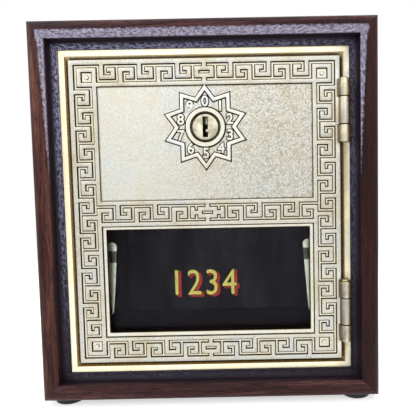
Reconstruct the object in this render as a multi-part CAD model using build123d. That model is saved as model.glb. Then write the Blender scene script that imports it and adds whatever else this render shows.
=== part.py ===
"""Brass post office box door in its cast frame, set in a mitred walnut case as a coin bank.

Every sub-part is written to parts/NODE.step. Lengths are millimetres. The front of the
object faces -Y, +X is to the right of someone who faces it and +Z is up. The origin is
the bottom centre of the whole object. Sub-parts of the door are drawn in door coordinates,
whose origin is the middle of the door on the front face of the frame's flange, and move_in
brings them to their place in the case.
"""

from build123d import *
import math
import os

# ---------------------------------------------------------------- door casting
KEY_COLUMNS = 69            # width of the meander field, in grid cells
KEY_ROWS = 83               # height of the meander field, in grid cells
CELL_HEIGHT = 1.75          # one cell of the meander grid, top to bottom
BORDER_CELLS = 6            # meander border, its inner rim included
PANEL_ROWS = 32             # rows of the panel, between its two rims
RAIL_ROWS = 7               # rows of the rail under the panel, both rims included
HOOK_CELLS = 5              # cells from one hook of the meander to the next
RELIEF = 0.6                # height of the raised lines above the recess floor
DOOR_RIM = 2.1              # plain raised edge outside the meander field
DOOR_PROUD = 0.4            # raised lines stand this far in front of the flange
DOOR_FLOOR = 3.6            # casting thickness under the recesses
CORNER_DOT = 1.0            # radius of the round dot in each corner square

# ---------------------------------------------------------------- index star and lock
LOCK_ROW = 17.7             # height of the lock's axis, in rows from the field's top
STAR_POINTS = 10
STAR_TIP = 20.5
STAR_NOTCH = 15.0
STAR_INNER_TIP = 17.7
STAR_INNER_NOTCH = 12.9
BOSS_RADIUS = 9.55
BOSS_PROUD = 1.4            # boss ring above the recess floor
NOSE_RADIUS = 7.2           # lock body where it fills the door's hole
NOSE_GAP = 0.1
NOSE_RECESS = 0.8           # nose front behind the recess floor
PLUG_RADIUS = 6.35
PLUG_GAP = 0.05
PLUG_PROUD = 1.2            # plug face in front of the recess floor
PLUG_COLLAR = 0.2           # plug's tail behind the lock body
PLUG_ARRIS = 0.3            # chamfer round the plug's face
KEYWAY_WIDTH = 2.65
KEYWAY_HEIGHT = 10.0
KEYWAY_END = 1.6            # metal left behind the keyway's blind end
WARD_HEIGHT = 1.2
WARD_DEPTH = 1.0
WARD_DROP = 1.2             # ward's top below the plug's axis
BODY_RADIUS = 9.2
BODY_LENGTH = 15.2
BIBLE_WIDTH = 6.4
BIBLE_HEIGHT = 16.0
CAP_THICKNESS = 1.2
PIN_COUNT = 5
PIN_PITCH = 3.0
PIN_RADIUS = 1.18
PIN_GAP = 0.07
PIN_END_GAP = 0.12          # running gap at each end of a pin
KEY_PIN_LENGTHS = (4.6, 3.6, 5.0, 4.1, 3.3)
DRIVER_PIN_LENGTH = 3.6
SPRING_WIRE = 0.16          # radius of the wire
SPRING_RADIUS = 0.95        # radius of the coil
SPRING_TURNS = 5
EAR_WIDTH = 7.0
EAR_THICKNESS = 2.4
EAR_SCREW_X = 12.6
EAR_REACH = 15.8

# ---------------------------------------------------------------- crank and bolt
CRANK_THICKNESS = 1.8
CRANK_RADIUS = 6.9
CRANK_PIN_ORBIT = 4.5
CRANK_PIN_RADIUS = 1.5
CRANK_PIN_LENGTH = 4.4
CRANK_REST_ANGLE = 45.0     # pin's angle below the axis at rest, to the right
BOLT_THICKNESS = 3.0
BOLT_HEIGHT = 10.0
BOLT_BEHIND_LIP = 0.6       # gap between the bolt and the back of the frame's lip
BOLT_TIP_GAP = 0.8          # thrown bolt to the frame's side wall
BOLT_LEG_X = 18.0           # right side of the leg that joggles back to the crank
BOLT_PLATE = 2.0            # thickness of the slotted plate
BOLT_PLATE_REACH = 7.2      # plate's end, right of the axis
BOLT_PLATE_GAP = 0.4        # plate behind the crank screw's head
BOLT_PLATE_TOP = 2.4        # plate's upper edge above the axis
BOLT_PLATE_DROP = 9.0       # plate's lower edge below the axis
SLOT_GAP = 0.3              # crank pin in the bolt's slot
GUIDE_LEG_GAP = 1.6         # thrown bolt's leg to the inner guide
OUTER_GUIDE_X = 50.0        # middle of the outer guide, left of the axis
GUIDE_WIDTH = 8.0
GUIDE_METAL = 1.4
GUIDE_GAP = 0.25
GUIDE_FOOT = 7.0
GUIDE_NAMES = ("bolt_guide_inner", "bolt_guide_outer")

# ---------------------------------------------------------------- window
WINDOW_WIDTH = 100.5
WINDOW_HEIGHT = 51.6
WINDOW_SIDE = 0.35          # recess floor beside the window, out to the next grid line
WINDOW_TOP_ROW = 46.1       # upper edge of the window, in rows from the field's top
WINDOW_CORNER = 1.0
GLASS_THICKNESS = 3.0
GLASS_LAP = 3.8             # glass behind the casting, all round
GLASS_ARRIS = 0.4           # chamfer round the back of the pane
CLIP_WIDTH = 5.0
CLIP_HEIGHT = 38.0
CLIP_METAL = 0.6
CLIP_BOW = 1.1              # middle of the clip above its ends
CLIP_TILT = 4.5             # degrees, tops towards the middle
CLIP_GAP = 0.15             # clip's ends above the glass
CLIP_OUTSET = 1.1           # clip's middle line outside the window's side edge
CLIP_TAB = 8.0              # height of the tab under the screw
CLIP_BOSS = 2.9
CLIP_BOSS_GAP = 1.05        # edge of the glass to the screw's boss

# ---------------------------------------------------------------- frame
DOOR_GAP = 0.4              # running gap round the door
FRAME_WALL = 1.6
FRAME_BEVEL = 1.6           # bevel round the inside of the flange
FLANGE_THICKNESS = 2.5
FLANGE_OVERLAP = 2.8        # flange outside the frame's walls
FRAME_DEPTH = 20.0
LIP_REACH = 3.4             # door stop inside the walls
LIP_THICKNESS = 2.2
LIP_GAP = 0.6               # back of the door to the stop
FRAME_SCREW_Y = 14.0
FRAME_SCREW_Z = 54.0

# ---------------------------------------------------------------- hinges
HINGE_ROWS = (13.95, 70.25)  # middle of each hinge, in rows from the field's top
HINGE_NAMES = ("upper_hinge_pin", "lower_hinge_pin")
KNUCKLE_RADIUS = 2.85
KNUCKLE_OUTER = 8.1
KNUCKLE_MIDDLE = 13.3
KNUCKLE_GAP = 0.3
KNUCKLE_RELIEF = 0.3        # room round each knuckle in the part it turns in
HINGE_OUT = 2.0             # hinge axis outside the door's edge
HINGE_PROUD = 1.4           # hinge axis in front of the flange
HINGE_WEB = 2.2             # door's web on its front face, inside its edge
PIN_SHANK = 1.0
PIN_BORE_GAP = 0.05
PIN_HEAD_RADIUS = 1.9
PIN_HEAD_HEIGHT = 0.9
PIN_HEAD_ROOM = 0.25        # flange round the pin's head
PIN_TAIL = 0.6              # pin below the lowest knuckle

# ---------------------------------------------------------------- wooden case
BOARD = 15.9
CASE_DEPTH = 110.0
FRAME_FIT = 0.2             # frame in the wooden opening
RIDGE_HEIGHT = 6.0          # moulding's ridge in front of the flange
RIDGE_IN = 4.0              # ridge's inner arris, outside the flange's edge
RIDGE_OUT = 8.6             # start of the rounded outer edge
STEP_IN = 3.4               # outer end of the cove
STEP_WIDTH = 0.2            # flat at the foot of the ridge's inner wall
STEP_HEIGHT = 1.6
COVE_SAG = 0.6              # hollow of the cove under its chord
COVE_HEIGHT = 0.9           # inner arris in front of the flange
BACK_THICKNESS = 6.0
BACK_LAP = 7.0
SLOT_LENGTH = 38.0
SLOT_WIDTH = 5.2
SLOT_Y = 20.0               # coin slot's middle, behind the middle of the case
SLOT_CORNER = 2.3           # radius of the coin slot's corners

# ---------------------------------------------------------------- feet
FOOT_RADIUS = 7.5
FOOT_HEIGHT = 3.0
FOOT_BEVEL = 0.6
FOOT_INSET = 10.0           # middle of a foot inside the case's sides
FOOT_SETBACK = 12.0         # middle of a foot behind the ridge and before the case's back
FOOT_COUNTERBORE = 3.4
FOOT_FLOOR = 1.2            # rubber under the screw's head
FOOT_SCREW_RECESS = 0.4     # screw's head above the foot's underside

# ---------------------------------------------------------------- screws
CUT_OVERRUN = 1.0           # how far a cutting shape stands out of what it cuts
SCREW_FIT = 0.05            # room round every screw
HOLE_END = 0.3              # hole beyond the screw's point
DRIVE_WIDTH = 0.7
DRIVE_DEPTH = 0.6
WOOD_SCREW = 1.5            # shank radius
WOOD_SCREW_HEAD = 2.9
WOOD_SCREW_LENGTH = 14.0
WOOD_HEAD_HEIGHT = 1.6
MACHINE_SCREW = 1.1
MACHINE_HEAD = 2.1
MACHINE_HEAD_HEIGHT = 1.3
EAR_SCREW_LENGTH = 5.2
GUIDE_SCREW_LENGTH = 6.0
CLIP_SCREW_LENGTH = 5.0
CRANK_SCREW_LENGTH = 5.0
FOOT_SCREW_LENGTH = 10.0

# ---------------------------------------------------------------- derived sizes
RAIL_TOP_ROW = BORDER_CELLS + PANEL_ROWS
MIDDLE_COLUMN = KEY_COLUMNS // 2
WINDOW_COLUMNS = KEY_COLUMNS - 2 * (BORDER_CELLS + 1)
CELL_WIDTH = (WINDOW_WIDTH + 2 * WINDOW_SIDE) / WINDOW_COLUMNS
FIELD_X = KEY_COLUMNS * CELL_WIDTH / 2
FIELD_Z = KEY_ROWS * CELL_HEIGHT / 2
DOOR_X = FIELD_X + DOOR_RIM
DOOR_Z = FIELD_Z + DOOR_RIM
WALL_IN_X = DOOR_X + DOOR_GAP
WALL_IN_Z = DOOR_Z + DOOR_GAP
WALL_OUT_X = WALL_IN_X + FRAME_WALL
WALL_OUT_Z = WALL_IN_Z + FRAME_WALL
FLANGE_X = WALL_OUT_X + FLANGE_OVERLAP
FLANGE_Z = WALL_OUT_Z + FLANGE_OVERLAP
OPENING_X = WALL_OUT_X + FRAME_FIT
OPENING_Z = WALL_OUT_Z + FRAME_FIT
CASE_X = OPENING_X + BOARD
CASE_Z = OPENING_Z + BOARD

FACE = -DOOR_PROUD                      # raised lines
FLOOR = FACE + RELIEF                   # recess floor
BACK = FLOOR + DOOR_FLOOR               # back of the casting
LIP_FRONT = BACK + LIP_GAP
LIP_BACK = LIP_FRONT + LIP_THICKNESS
BOLT_FRONT = LIP_BACK + BOLT_BEHIND_LIP
BOLT_BACK = BOLT_FRONT + BOLT_THICKNESS
PAD_TOP = BOLT_FRONT - GUIDE_GAP
BODY_BACK = BACK + BODY_LENGTH
CRANK_FRONT = BODY_BACK + PLUG_COLLAR
CRANK_BACK = CRANK_FRONT + CRANK_THICKNESS
PLATE_FRONT = CRANK_BACK + MACHINE_HEAD_HEIGHT + BOLT_PLATE_GAP
PLATE_BACK = PLATE_FRONT + BOLT_PLATE
THROW = 2 * CRANK_PIN_ORBIT * math.sin(math.radians(CRANK_REST_ANGLE))
BOLT_TIP_X = -(WALL_IN_X - BOLT_TIP_GAP) + THROW
LEG_REACH = BOLT_LEG_X + BOLT_THICKNESS + THROW     # thrown bolt's leg, left of the axis
GUIDE_X = (LEG_REACH + GUIDE_LEG_GAP + GUIDE_WIDTH / 2, OUTER_GUIDE_X)
HINGE_X = DOOR_X + HINGE_OUT
HINGE_Y = -HINGE_PROUD
BOSS_FRONT = FLOOR - BOSS_PROUD
GLASS_BACK = BACK + GLASS_THICKNESS
CLIP_SEAT = GLASS_BACK + CLIP_GAP + CLIP_BOW
CLIP_SCREW_X = WINDOW_WIDTH / 2 + GLASS_LAP + CLIP_BOSS_GAP + CLIP_BOSS

FRONT_TO_FACE = RIDGE_HEIGHT            # frontmost point of the case to the flange
FACE_Y = FRONT_TO_FACE - CASE_DEPTH / 2
MIDDLE_Z = FOOT_HEIGHT + CASE_Z
CASE_BACK = CASE_DEPTH - FRONT_TO_FACE  # back of the case, in door coordinates
PANEL_FRONT = CASE_BACK - BACK_THICKNESS


def row_z(row):
    """Height in door coordinates of a row line of the meander grid."""
    return FIELD_Z - row * CELL_HEIGHT


LOCK_Z = row_z(LOCK_ROW)
WINDOW_Z = row_z(WINDOW_TOP_ROW) - WINDOW_HEIGHT / 2
HINGE_Z = tuple(row_z(row) for row in HINGE_ROWS)


# ---------------------------------------------------------------- shared shapes
def block(x, y, z):
    """A box between two corners, given as a (low, high) pair along each axis."""
    size = (x[1] - x[0], y[1] - y[0], z[1] - z[0])
    return Pos(sum(x) / 2, sum(y) / 2, sum(z) / 2) * Box(*size)


def rod(start, direction, radius, length):
    """A cylinder that starts at a point and runs along a direction."""
    seat = Plane(origin=start, z_dir=direction)
    return seat * Cylinder(radius, length, align=(Align.CENTER, Align.CENTER, Align.MIN))


def front_plane(y):
    """A plane at depth y whose sketch X and Y are the object's X and Z; it faces -Y."""
    return Plane(origin=(0, y, 0), x_dir=(1, 0, 0), z_dir=(0, -1, 0))


def side_plane(x):
    """A plane at x whose sketch X and Y are the object's Y and Z; it faces +X."""
    return Plane(origin=(x, 0, 0), x_dir=(0, 1, 0), z_dir=(1, 0, 0))


def slab(sketch, front, back):
    """A sketch in X and Z given thickness from its front depth to its back depth."""
    return extrude(front_plane(back) * sketch, back - front)


def box_ring(outer, inner, front, back):
    """A rectangular ring: half sizes of the outside and of the hole, and two depths."""
    ring = Rectangle(2 * outer[0], 2 * outer[1]) - Rectangle(2 * inner[0], 2 * inner[1])
    return slab(ring, front, back)


def screw_shank(radius, length):
    """A shank with a blunt point, from z = 0 down to its length."""
    straight = length - radius
    point = Pos(0, 0, -straight - radius / 2) * Cone(radius / 2, radius, radius)
    return Pos(0, 0, -straight / 2) * Cylinder(radius, straight) + point


def pan_screw(radius, length, head_radius, head_height):
    """A slotted pan head screw: its seat at z = 0, the head above and the shank below."""
    head = Pos(0, 0, head_height / 2) * Cylinder(head_radius, head_height)
    head = fillet(head.edges().group_by(Axis.Z)[-1], head_height / 3)
    drive_z = head_height - DRIVE_DEPTH / 2
    drive = Pos(0, 0, drive_z) * Box(3 * head_radius, DRIVE_WIDTH, DRIVE_DEPTH)
    return head + screw_shank(radius, length) - drive


def flat_screw(radius, length, head_radius, head_height):
    """A slotted countersunk screw: its head's top at z = 0 and the shank below."""
    head = Pos(0, 0, -head_height / 2) * Cone(radius, head_radius, head_height)
    drive = Pos(0, 0, -DRIVE_DEPTH / 2) * Box(3 * head_radius, DRIVE_WIDTH, DRIVE_DEPTH)
    return head + screw_shank(radius, length) - drive


def screw_hole(radius, length, above=0.0):
    """The hole for a screw: a little deeper than its length, and some way above its seat."""
    height = length + HOLE_END + above
    return Pos(0, 0, above - height / 2) * Cylinder(radius + SCREW_FIT, height)


def flat_seat(radius, length, head_radius, head_height):
    """The hole and countersink for a countersunk screw."""
    sink = Cone(radius + SCREW_FIT, head_radius + SCREW_FIT, head_height)
    return Pos(0, 0, -head_height / 2) * sink + screw_hole(radius, length)


def place_all(shape, seats):
    """Copies of a shape, each with its z axis along a seat's direction."""
    return [Plane(origin=point, z_dir=way) * shape for point, way in seats]


def without(shape, cutters):
    """A shape with every cutter taken out of it."""
    for cutter in cutters:
        shape = shape - cutter
    return shape


def move_in(shape):
    """Bring a shape from door coordinates to the object's own frame."""
    return Pos(0, FACE_Y, MIDDLE_Z) * shape


# ---------------------------------------------------------------- meander pattern
def cells(col_from, row_from, col_to, row_to):
    """The grid cells of a straight bar, both ends included."""
    columns = range(min(col_from, col_to), max(col_from, col_to) + 1)
    rows = range(min(row_from, row_to), max(row_from, row_to) + 1)
    return {(col, row) for col in columns for row in rows}


def hook(base, step, root):
    """One hook of the meander, along a border of five lines.

    The stem rises at base from the line root (0 or 4), the arm runs three cells on line 3
    or 1, and the end turns back inside. Cells come out as (along, across).
    """
    near, far = (0, 3) if root == 0 else (4, 1)
    turn = 1 if root == 0 else 3
    stem = cells(base, near, base, far)
    arm = cells(base, far, base + 3 * step, far)
    back = cells(base + 3 * step, turn, base + 3 * step, far)
    end = cells(base + 2 * step, turn, base + 3 * step, turn)
    return stem | arm | back | end


def corner_square():
    """The square ring in the upper left corner of the border."""
    return cells(1, 1, 5, 5) - cells(2, 2, 4, 4)


def centre_piece(first):
    """The square ring in the middle of a level run, whose first line is row first."""
    middle = MIDDLE_COLUMN
    ring = cells(middle - 2, first + 1, middle + 2, first + 3)
    ring -= cells(middle - 1, first + 2, middle + 1, first + 2)
    return ring | {(middle, first), (middle, first + 4)}


def top_border():
    """Left half of the upper border, with its centre piece."""
    raised = set()
    start = BORDER_CELLS + 1
    for index in range((MIDDLE_COLUMN - start) // HOOK_CELLS):
        raised |= hook(start + HOOK_CELLS * index, 1, 0 if index % 2 == 0 else 4)
    return raised | centre_piece(0)


def side_border():
    """Left border between the corner squares, turned from the same hooks."""
    raised = set()
    start = BORDER_CELLS + 1
    for index in range((KEY_ROWS - 2 * BORDER_CELLS) // HOOK_CELLS):
        bars = hook(start + HOOK_CELLS * index, 1, 0 if index % 2 == 0 else 4)
        raised |= {(across, along) for along, across in bars}
    return raised


def middle_rail():
    """Left half of the rail between panel and window, in grid rows."""
    first = RAIL_TOP_ROW + 1
    start = BORDER_CELLS - 1
    raised = set()
    for index in range((MIDDLE_COLUMN - start) // HOOK_CELLS):
        bars = hook(start + HOOK_CELLS * index, 1, 4 if index % 2 == 0 else 0)
        raised |= {(along, across + first) for along, across in bars}
    bar = MIDDLE_COLUMN - 4
    raised |= cells(bar, first + 1, bar, first + 3) | cells(bar + 1, first + 2, bar + 1, first + 2)
    return raised | centre_piece(first)


def raised_cells():
    """Every raised cell of the door's face, rims included."""
    last_col, last_row = KEY_COLUMNS - 1, KEY_ROWS - 1
    rim = BORDER_CELLS - 1
    quarter = corner_square() | top_border()
    border = quarter | {(col, last_row - row) for col, row in quarter}
    border |= side_border()
    border |= cells(rim, rim, last_col // 2, rim)
    border |= cells(rim, last_row - rim, last_col // 2, last_row - rim)
    border |= cells(rim, rim, rim, last_row - rim)
    rail_rows = (RAIL_TOP_ROW, RAIL_TOP_ROW + RAIL_ROWS - 1)
    for row in rail_rows:
        border |= cells(rim, row, last_col // 2, row)
    border -= {(rim, RAIL_TOP_ROW + 1)}
    border |= middle_rail()
    border |= {(last_col - col, row) for col, row in border}
    outside = cells(-1, -1, KEY_COLUMNS, KEY_ROWS) - cells(0, 0, last_col, last_row)
    return border | outside


def grid_point(line):
    """Millimetre place of a crossing of grid lines; the outermost lines are the door's."""
    col, row = line
    x = min(max(col * CELL_WIDTH - FIELD_X, -DOOR_X), DOOR_X)
    z = min(max(row_z(row), -DOOR_Z), DOOR_Z)
    if col in (-1, KEY_COLUMNS + 1):
        x = math.copysign(DOOR_X, col)
    if row in (-1, KEY_ROWS + 1):
        z = math.copysign(DOOR_Z, -row)
    return x, z


def islands(raised):
    """Split a set of cells into groups that touch along their sides."""
    waiting = set(raised)
    groups = []
    while waiting:
        edge = [waiting.pop()]
        group = set(edge)
        while edge:
            col, row = edge.pop()
            beside = {(col + 1, row), (col - 1, row), (col, row + 1), (col, row - 1)} & waiting
            waiting -= beside
            group |= beside
            edge.extend(beside)
        groups.append(group)
    return sorted(groups, key=min)


def cell_loops(group):
    """The closed outlines of a group of cells, with the group on their left."""
    following = {}
    for col, row in group:
        if (col, row + 1) not in group:
            following[(col, row + 1)] = (col + 1, row + 1)
        if (col + 1, row) not in group:
            following[(col + 1, row + 1)] = (col + 1, row)
        if (col, row - 1) not in group:
            following[(col + 1, row)] = (col, row)
        if (col - 1, row) not in group:
            following[(col, row)] = (col, row + 1)
    loops = []
    while following:
        first = min(following)
        loop = [first]
        line = following.pop(first)
        while line != first:
            loop.append(line)
            line = following.pop(line)
        loops.append(corners_only(loop))
    return loops


def corners_only(loop):
    """A closed outline without the points that lie on its straight runs."""
    kept = []
    for before, here, after in zip(loop[-1:] + loop[:-1], loop, loop[1:] + loop[:1]):
        if before[0] != after[0] and before[1] != after[1]:
            kept.append(here)
    return kept


def loop_area(points):
    """Signed area of a closed outline, positive when it runs anticlockwise."""
    pairs = zip(points, points[1:] + points[:1])
    return sum(a[0] * b[1] - b[0] * a[1] for a, b in pairs) / 2


def meander_faces():
    """The raised lines as flat faces with their holes, in sketch X and Y."""
    faces = []
    for group in islands(raised_cells()):
        loops = [[grid_point(line) for line in loop] for loop in cell_loops(group)]
        loops.sort(key=loop_area, reverse=True)
        wires = [Wire.make_polygon([(x, z, 0) for x, z in loop]) for loop in loops]
        faces.append(Face(wires[0], wires[1:]))
    return faces


# ---------------------------------------------------------------- door
def star_outline(tip, notch):
    """A star with its first tip upwards, centred on the lock's axis."""
    step = math.pi / STAR_POINTS
    points = []
    for index in range(2 * STAR_POINTS):
        radius = tip if index % 2 == 0 else notch
        angle = math.pi / 2 - index * step
        points.append((radius * math.cos(angle), LOCK_Z + radius * math.sin(angle)))
    return make_face(Polyline(*points, close=True))


def window_sketch(grow=0.0):
    """The window's outline in sketch X and Y."""
    sketch = RectangleRounded(WINDOW_WIDTH + 2 * grow, WINDOW_HEIGHT + 2 * grow, WINDOW_CORNER)
    return Pos(0, WINDOW_Z) * sketch


def knuckle(middle, length, radius):
    """A round of a given length on the hinge axis."""
    return Pos(HINGE_X, HINGE_Y, middle) * Cylinder(radius, length)


def outer_knuckle_offset():
    """Middle of an outer knuckle from the middle of its hinge."""
    return (KNUCKLE_MIDDLE + KNUCKLE_OUTER) / 2 + KNUCKLE_GAP


def hinge_half():
    """Half the height of a whole hinge."""
    return outer_knuckle_offset() + KNUCKLE_OUTER / 2


def door_relief():
    """Meander, corner dots, star and lock boss, raised from the recess floor."""
    raised = [slab(face, FACE, FLOOR) for face in meander_faces()]
    dot_x = FIELD_X - (BORDER_CELLS / 2 + 0.5) * CELL_WIDTH
    dot_z = FIELD_Z - (BORDER_CELLS / 2 + 0.5) * CELL_HEIGHT
    for x in (-dot_x, dot_x):
        for z in (-dot_z, dot_z):
            raised.append(rod((x, FLOOR, z), (0, -1, 0), CORNER_DOT, RELIEF))
    star = star_outline(STAR_TIP, STAR_NOTCH) - star_outline(STAR_INNER_TIP, STAR_INNER_NOTCH)
    raised.append(slab(star, FACE, FLOOR))
    raised.append(rod((0, FLOOR, LOCK_Z), (0, -1, 0), BOSS_RADIUS, BOSS_PROUD))
    return raised


def door_hinge_parts():
    """The door's own knuckles with the webs that join them to its face."""
    parts = []
    for middle in HINGE_Z:
        barrel = knuckle(middle, KNUCKLE_MIDDLE, KNUCKLE_RADIUS)
        half = KNUCKLE_MIDDLE / 2
        web = block((DOOR_X - HINGE_WEB, HINGE_X), (HINGE_Y, FACE), (middle - half, middle + half))
        parts.append(barrel + web)
    return parts


def hinge_bores(gap):
    """Holes for both hinge pins."""
    reach = 2 * (hinge_half() + PIN_TAIL)
    return [knuckle(middle, reach, PIN_SHANK + gap) for middle in HINGE_Z]


def make_door():
    """The door casting."""
    body = block((-DOOR_X, DOOR_X), (FLOOR, BACK), (-DOOR_Z, DOOR_Z))
    body = body.fuse(*door_relief())
    body -= slab(window_sketch(), FACE - BOSS_PROUD, BACK)
    notch_radius = KNUCKLE_RADIUS + KNUCKLE_RELIEF
    for middle in HINGE_Z:
        for side in (-1, 1):
            z = middle + side * outer_knuckle_offset()
            body -= knuckle(z, KNUCKLE_OUTER + 2 * KNUCKLE_GAP, notch_radius)
    bosses = [rod((x, BACK, WINDOW_Z), (0, 1, 0), CLIP_BOSS, CLIP_SEAT - BACK)
              for x in (-CLIP_SCREW_X, CLIP_SCREW_X)]
    pad_half = BOLT_HEIGHT / 2 + GUIDE_GAP + GUIDE_METAL + GUIDE_FOOT
    pads = [block((-x - GUIDE_WIDTH / 2, -x + GUIDE_WIDTH / 2), (BACK, PAD_TOP),
                  (LOCK_Z - pad_half, LOCK_Z + pad_half)) for x in GUIDE_X]
    body = body.fuse(*door_hinge_parts(), *bosses, *pads)
    hole_front = BOSS_FRONT - CUT_OVERRUN
    body -= rod((0, hole_front, LOCK_Z), (0, 1, 0), NOSE_RADIUS + NOSE_GAP, BACK - hole_front)
    holes = hinge_bores(PIN_BORE_GAP)
    holes += place_all(screw_hole(MACHINE_SCREW, CLIP_SCREW_LENGTH), clip_screw_seats(CLIP_SEAT))
    ear_depth = EAR_SCREW_LENGTH - EAR_THICKNESS
    holes += place_all(screw_hole(MACHINE_SCREW, ear_depth), ear_screw_seats(BACK))
    guide_depth = GUIDE_SCREW_LENGTH - GUIDE_METAL
    holes += place_all(screw_hole(MACHINE_SCREW, guide_depth), guide_screw_seats(PAD_TOP))
    return without(body, holes)


# ---------------------------------------------------------------- hinge pins
def make_hinge_pin(middle):
    """A hinge pin with a domed head that rests on the top knuckle."""
    half = hinge_half()
    seat = Pos(HINGE_X, HINGE_Y, middle)
    length = 2 * half + PIN_TAIL
    shank = Pos(0, 0, half - length / 2) * Cylinder(PIN_SHANK, length)
    shank = chamfer(shank.edges().group_by(Axis.Z)[0], PIN_SHANK / 3)
    head = Pos(0, 0, half + PIN_HEAD_HEIGHT / 2) * Cylinder(PIN_HEAD_RADIUS, PIN_HEAD_HEIGHT)
    head = fillet(head.edges().group_by(Axis.Z)[-1], PIN_HEAD_HEIGHT * 0.8)
    return seat * (shank + head)


# ---------------------------------------------------------------- window
def clip_screw_seats(y):
    """Places of the two clip screws on a plane at depth y, facing back."""
    return [((x, y, WINDOW_Z), (0, 1, 0)) for x in (-CLIP_SCREW_X, CLIP_SCREW_X)]


def make_window_glass():
    """The pane behind the window."""
    glass_x = WINDOW_WIDTH / 2 + GLASS_LAP
    glass_z = WINDOW_HEIGHT / 2 + GLASS_LAP
    pane = block((-glass_x, glass_x), (BACK, GLASS_BACK), (WINDOW_Z - glass_z, WINDOW_Z + glass_z))
    return chamfer(pane.edges().group_by(Axis.Y)[-1], GLASS_ARRIS)


def bowed_strip():
    """A clip's strip: bowed along its height, its ends near the glass and its middle proud."""
    half = CLIP_HEIGHT / 2
    low, high = GLASS_BACK + CLIP_GAP, CLIP_SEAT
    inner = ThreePointArc((low, -half), (high, 0), (low, half))
    outer = ThreePointArc((low + CLIP_METAL, half), (high + CLIP_METAL, 0), (low + CLIP_METAL, -half))
    ends = Line(inner @ 1, outer @ 0) + Line(outer @ 1, inner @ 0)
    profile = make_face(inner + outer + ends)
    strip = extrude(side_plane(-CLIP_WIDTH / 2) * profile, CLIP_WIDTH)
    round_ends = slab(SlotCenterToCenter(CLIP_HEIGHT - CLIP_WIDTH, CLIP_WIDTH, rotation=90),
                      low - CUT_OVERRUN, high + CLIP_METAL + CUT_OVERRUN)
    return strip & round_ends


def make_glass_clip(side):
    """A spring clip that holds the glass; side is -1 on the left and 1 on the right."""
    middle_x = side * (WINDOW_WIDTH / 2 + CLIP_OUTSET)
    strip = Pos(middle_x, 0, WINDOW_Z) * Rot(0, -side * CLIP_TILT, 0) * bowed_strip()
    tab_end = CLIP_SCREW_X + CLIP_BOSS
    tab_x = sorted((middle_x, side * tab_end))
    tab_z = (WINDOW_Z - CLIP_TAB / 2, WINDOW_Z + CLIP_TAB / 2)
    tab = block(tab_x, (CLIP_SEAT, CLIP_SEAT + CLIP_METAL), tab_z)
    tab = fillet(tab.edges().filter_by(Axis.Y), CLIP_METAL)
    holes = place_all(screw_hole(MACHINE_SCREW, CLIP_METAL, CLIP_METAL),
                      clip_screw_seats(CLIP_SEAT + CLIP_METAL))
    return without(strip + tab, holes)


def make_glass_clip_screws():
    """The two screws of the glass clips."""
    length = CLIP_SCREW_LENGTH
    screw = pan_screw(MACHINE_SCREW, length, MACHINE_HEAD, MACHINE_HEAD_HEIGHT)
    return place_all(screw, clip_screw_seats(CLIP_SEAT + CLIP_METAL))


# ---------------------------------------------------------------- lock
def ear_screw_seats(y):
    """Places of the two lock screws on a plane at depth y, facing back."""
    return [((x, y, LOCK_Z), (0, 1, 0)) for x in (-EAR_SCREW_X, EAR_SCREW_X)]


def pin_places():
    """Depths of the pin chambers, from the front."""
    first = BACK + BODY_LENGTH / 2 - (PIN_COUNT - 1) * PIN_PITCH / 2
    return [first + index * PIN_PITCH for index in range(PIN_COUNT)]


def chambers(bottom, top):
    """The row of pin chambers between two heights above the lock's axis."""
    radius = PIN_RADIUS + PIN_GAP
    return [rod((0, y, LOCK_Z + bottom), (0, 0, 1), radius, top - bottom) for y in pin_places()]


def make_lock_body():
    """The lock's case: nose, barrel, pin housing and two screw ears."""
    nose_front = FLOOR + NOSE_RECESS
    nose = rod((0, nose_front, LOCK_Z), (0, 1, 0), NOSE_RADIUS, BACK - nose_front)
    barrel = rod((0, BACK, LOCK_Z), (0, 1, 0), BODY_RADIUS, BODY_LENGTH)
    half = BIBLE_WIDTH / 2
    bible = block((-half, half), (BACK, BODY_BACK), (LOCK_Z, LOCK_Z + BIBLE_HEIGHT))
    ears = block((-EAR_REACH, EAR_REACH), (BACK, BACK + EAR_THICKNESS),
                 (LOCK_Z - EAR_WIDTH / 2, LOCK_Z + EAR_WIDTH / 2))
    ears = fillet(ears.edges().filter_by(Axis.Y), EAR_THICKNESS)
    body = barrel.fuse(nose, bible, ears)
    body -= rod((0, nose_front, LOCK_Z), (0, 1, 0), PLUG_RADIUS + PLUG_GAP, BODY_BACK - nose_front)
    holes = chambers(PLUG_RADIUS - CUT_OVERRUN, BIBLE_HEIGHT)
    holes += place_all(screw_hole(MACHINE_SCREW, EAR_THICKNESS),
                       ear_screw_seats(BACK + EAR_THICKNESS))
    return without(body, holes)


def make_lock_body_screws():
    """The two screws that hold the lock to the back of the door."""
    length = EAR_SCREW_LENGTH
    screw = pan_screw(MACHINE_SCREW, length, MACHINE_HEAD, MACHINE_HEAD_HEIGHT)
    return place_all(screw, ear_screw_seats(BACK + EAR_THICKNESS))


def keyway():
    """The key's slot in the plug, with its ward."""
    front = FLOOR - PLUG_PROUD
    depth = CRANK_FRONT - front - KEYWAY_END - CRANK_SCREW_LENGTH
    half = KEYWAY_WIDTH / 2
    slot = block((-half, half), (front - CUT_OVERRUN, front + depth),
                 (LOCK_Z - KEYWAY_HEIGHT / 2, LOCK_Z + KEYWAY_HEIGHT / 2))
    ward = block((half - WARD_DEPTH, half), (front, front + depth),
                 (LOCK_Z - WARD_DROP - WARD_HEIGHT, LOCK_Z - WARD_DROP))
    return slot - ward


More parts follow.
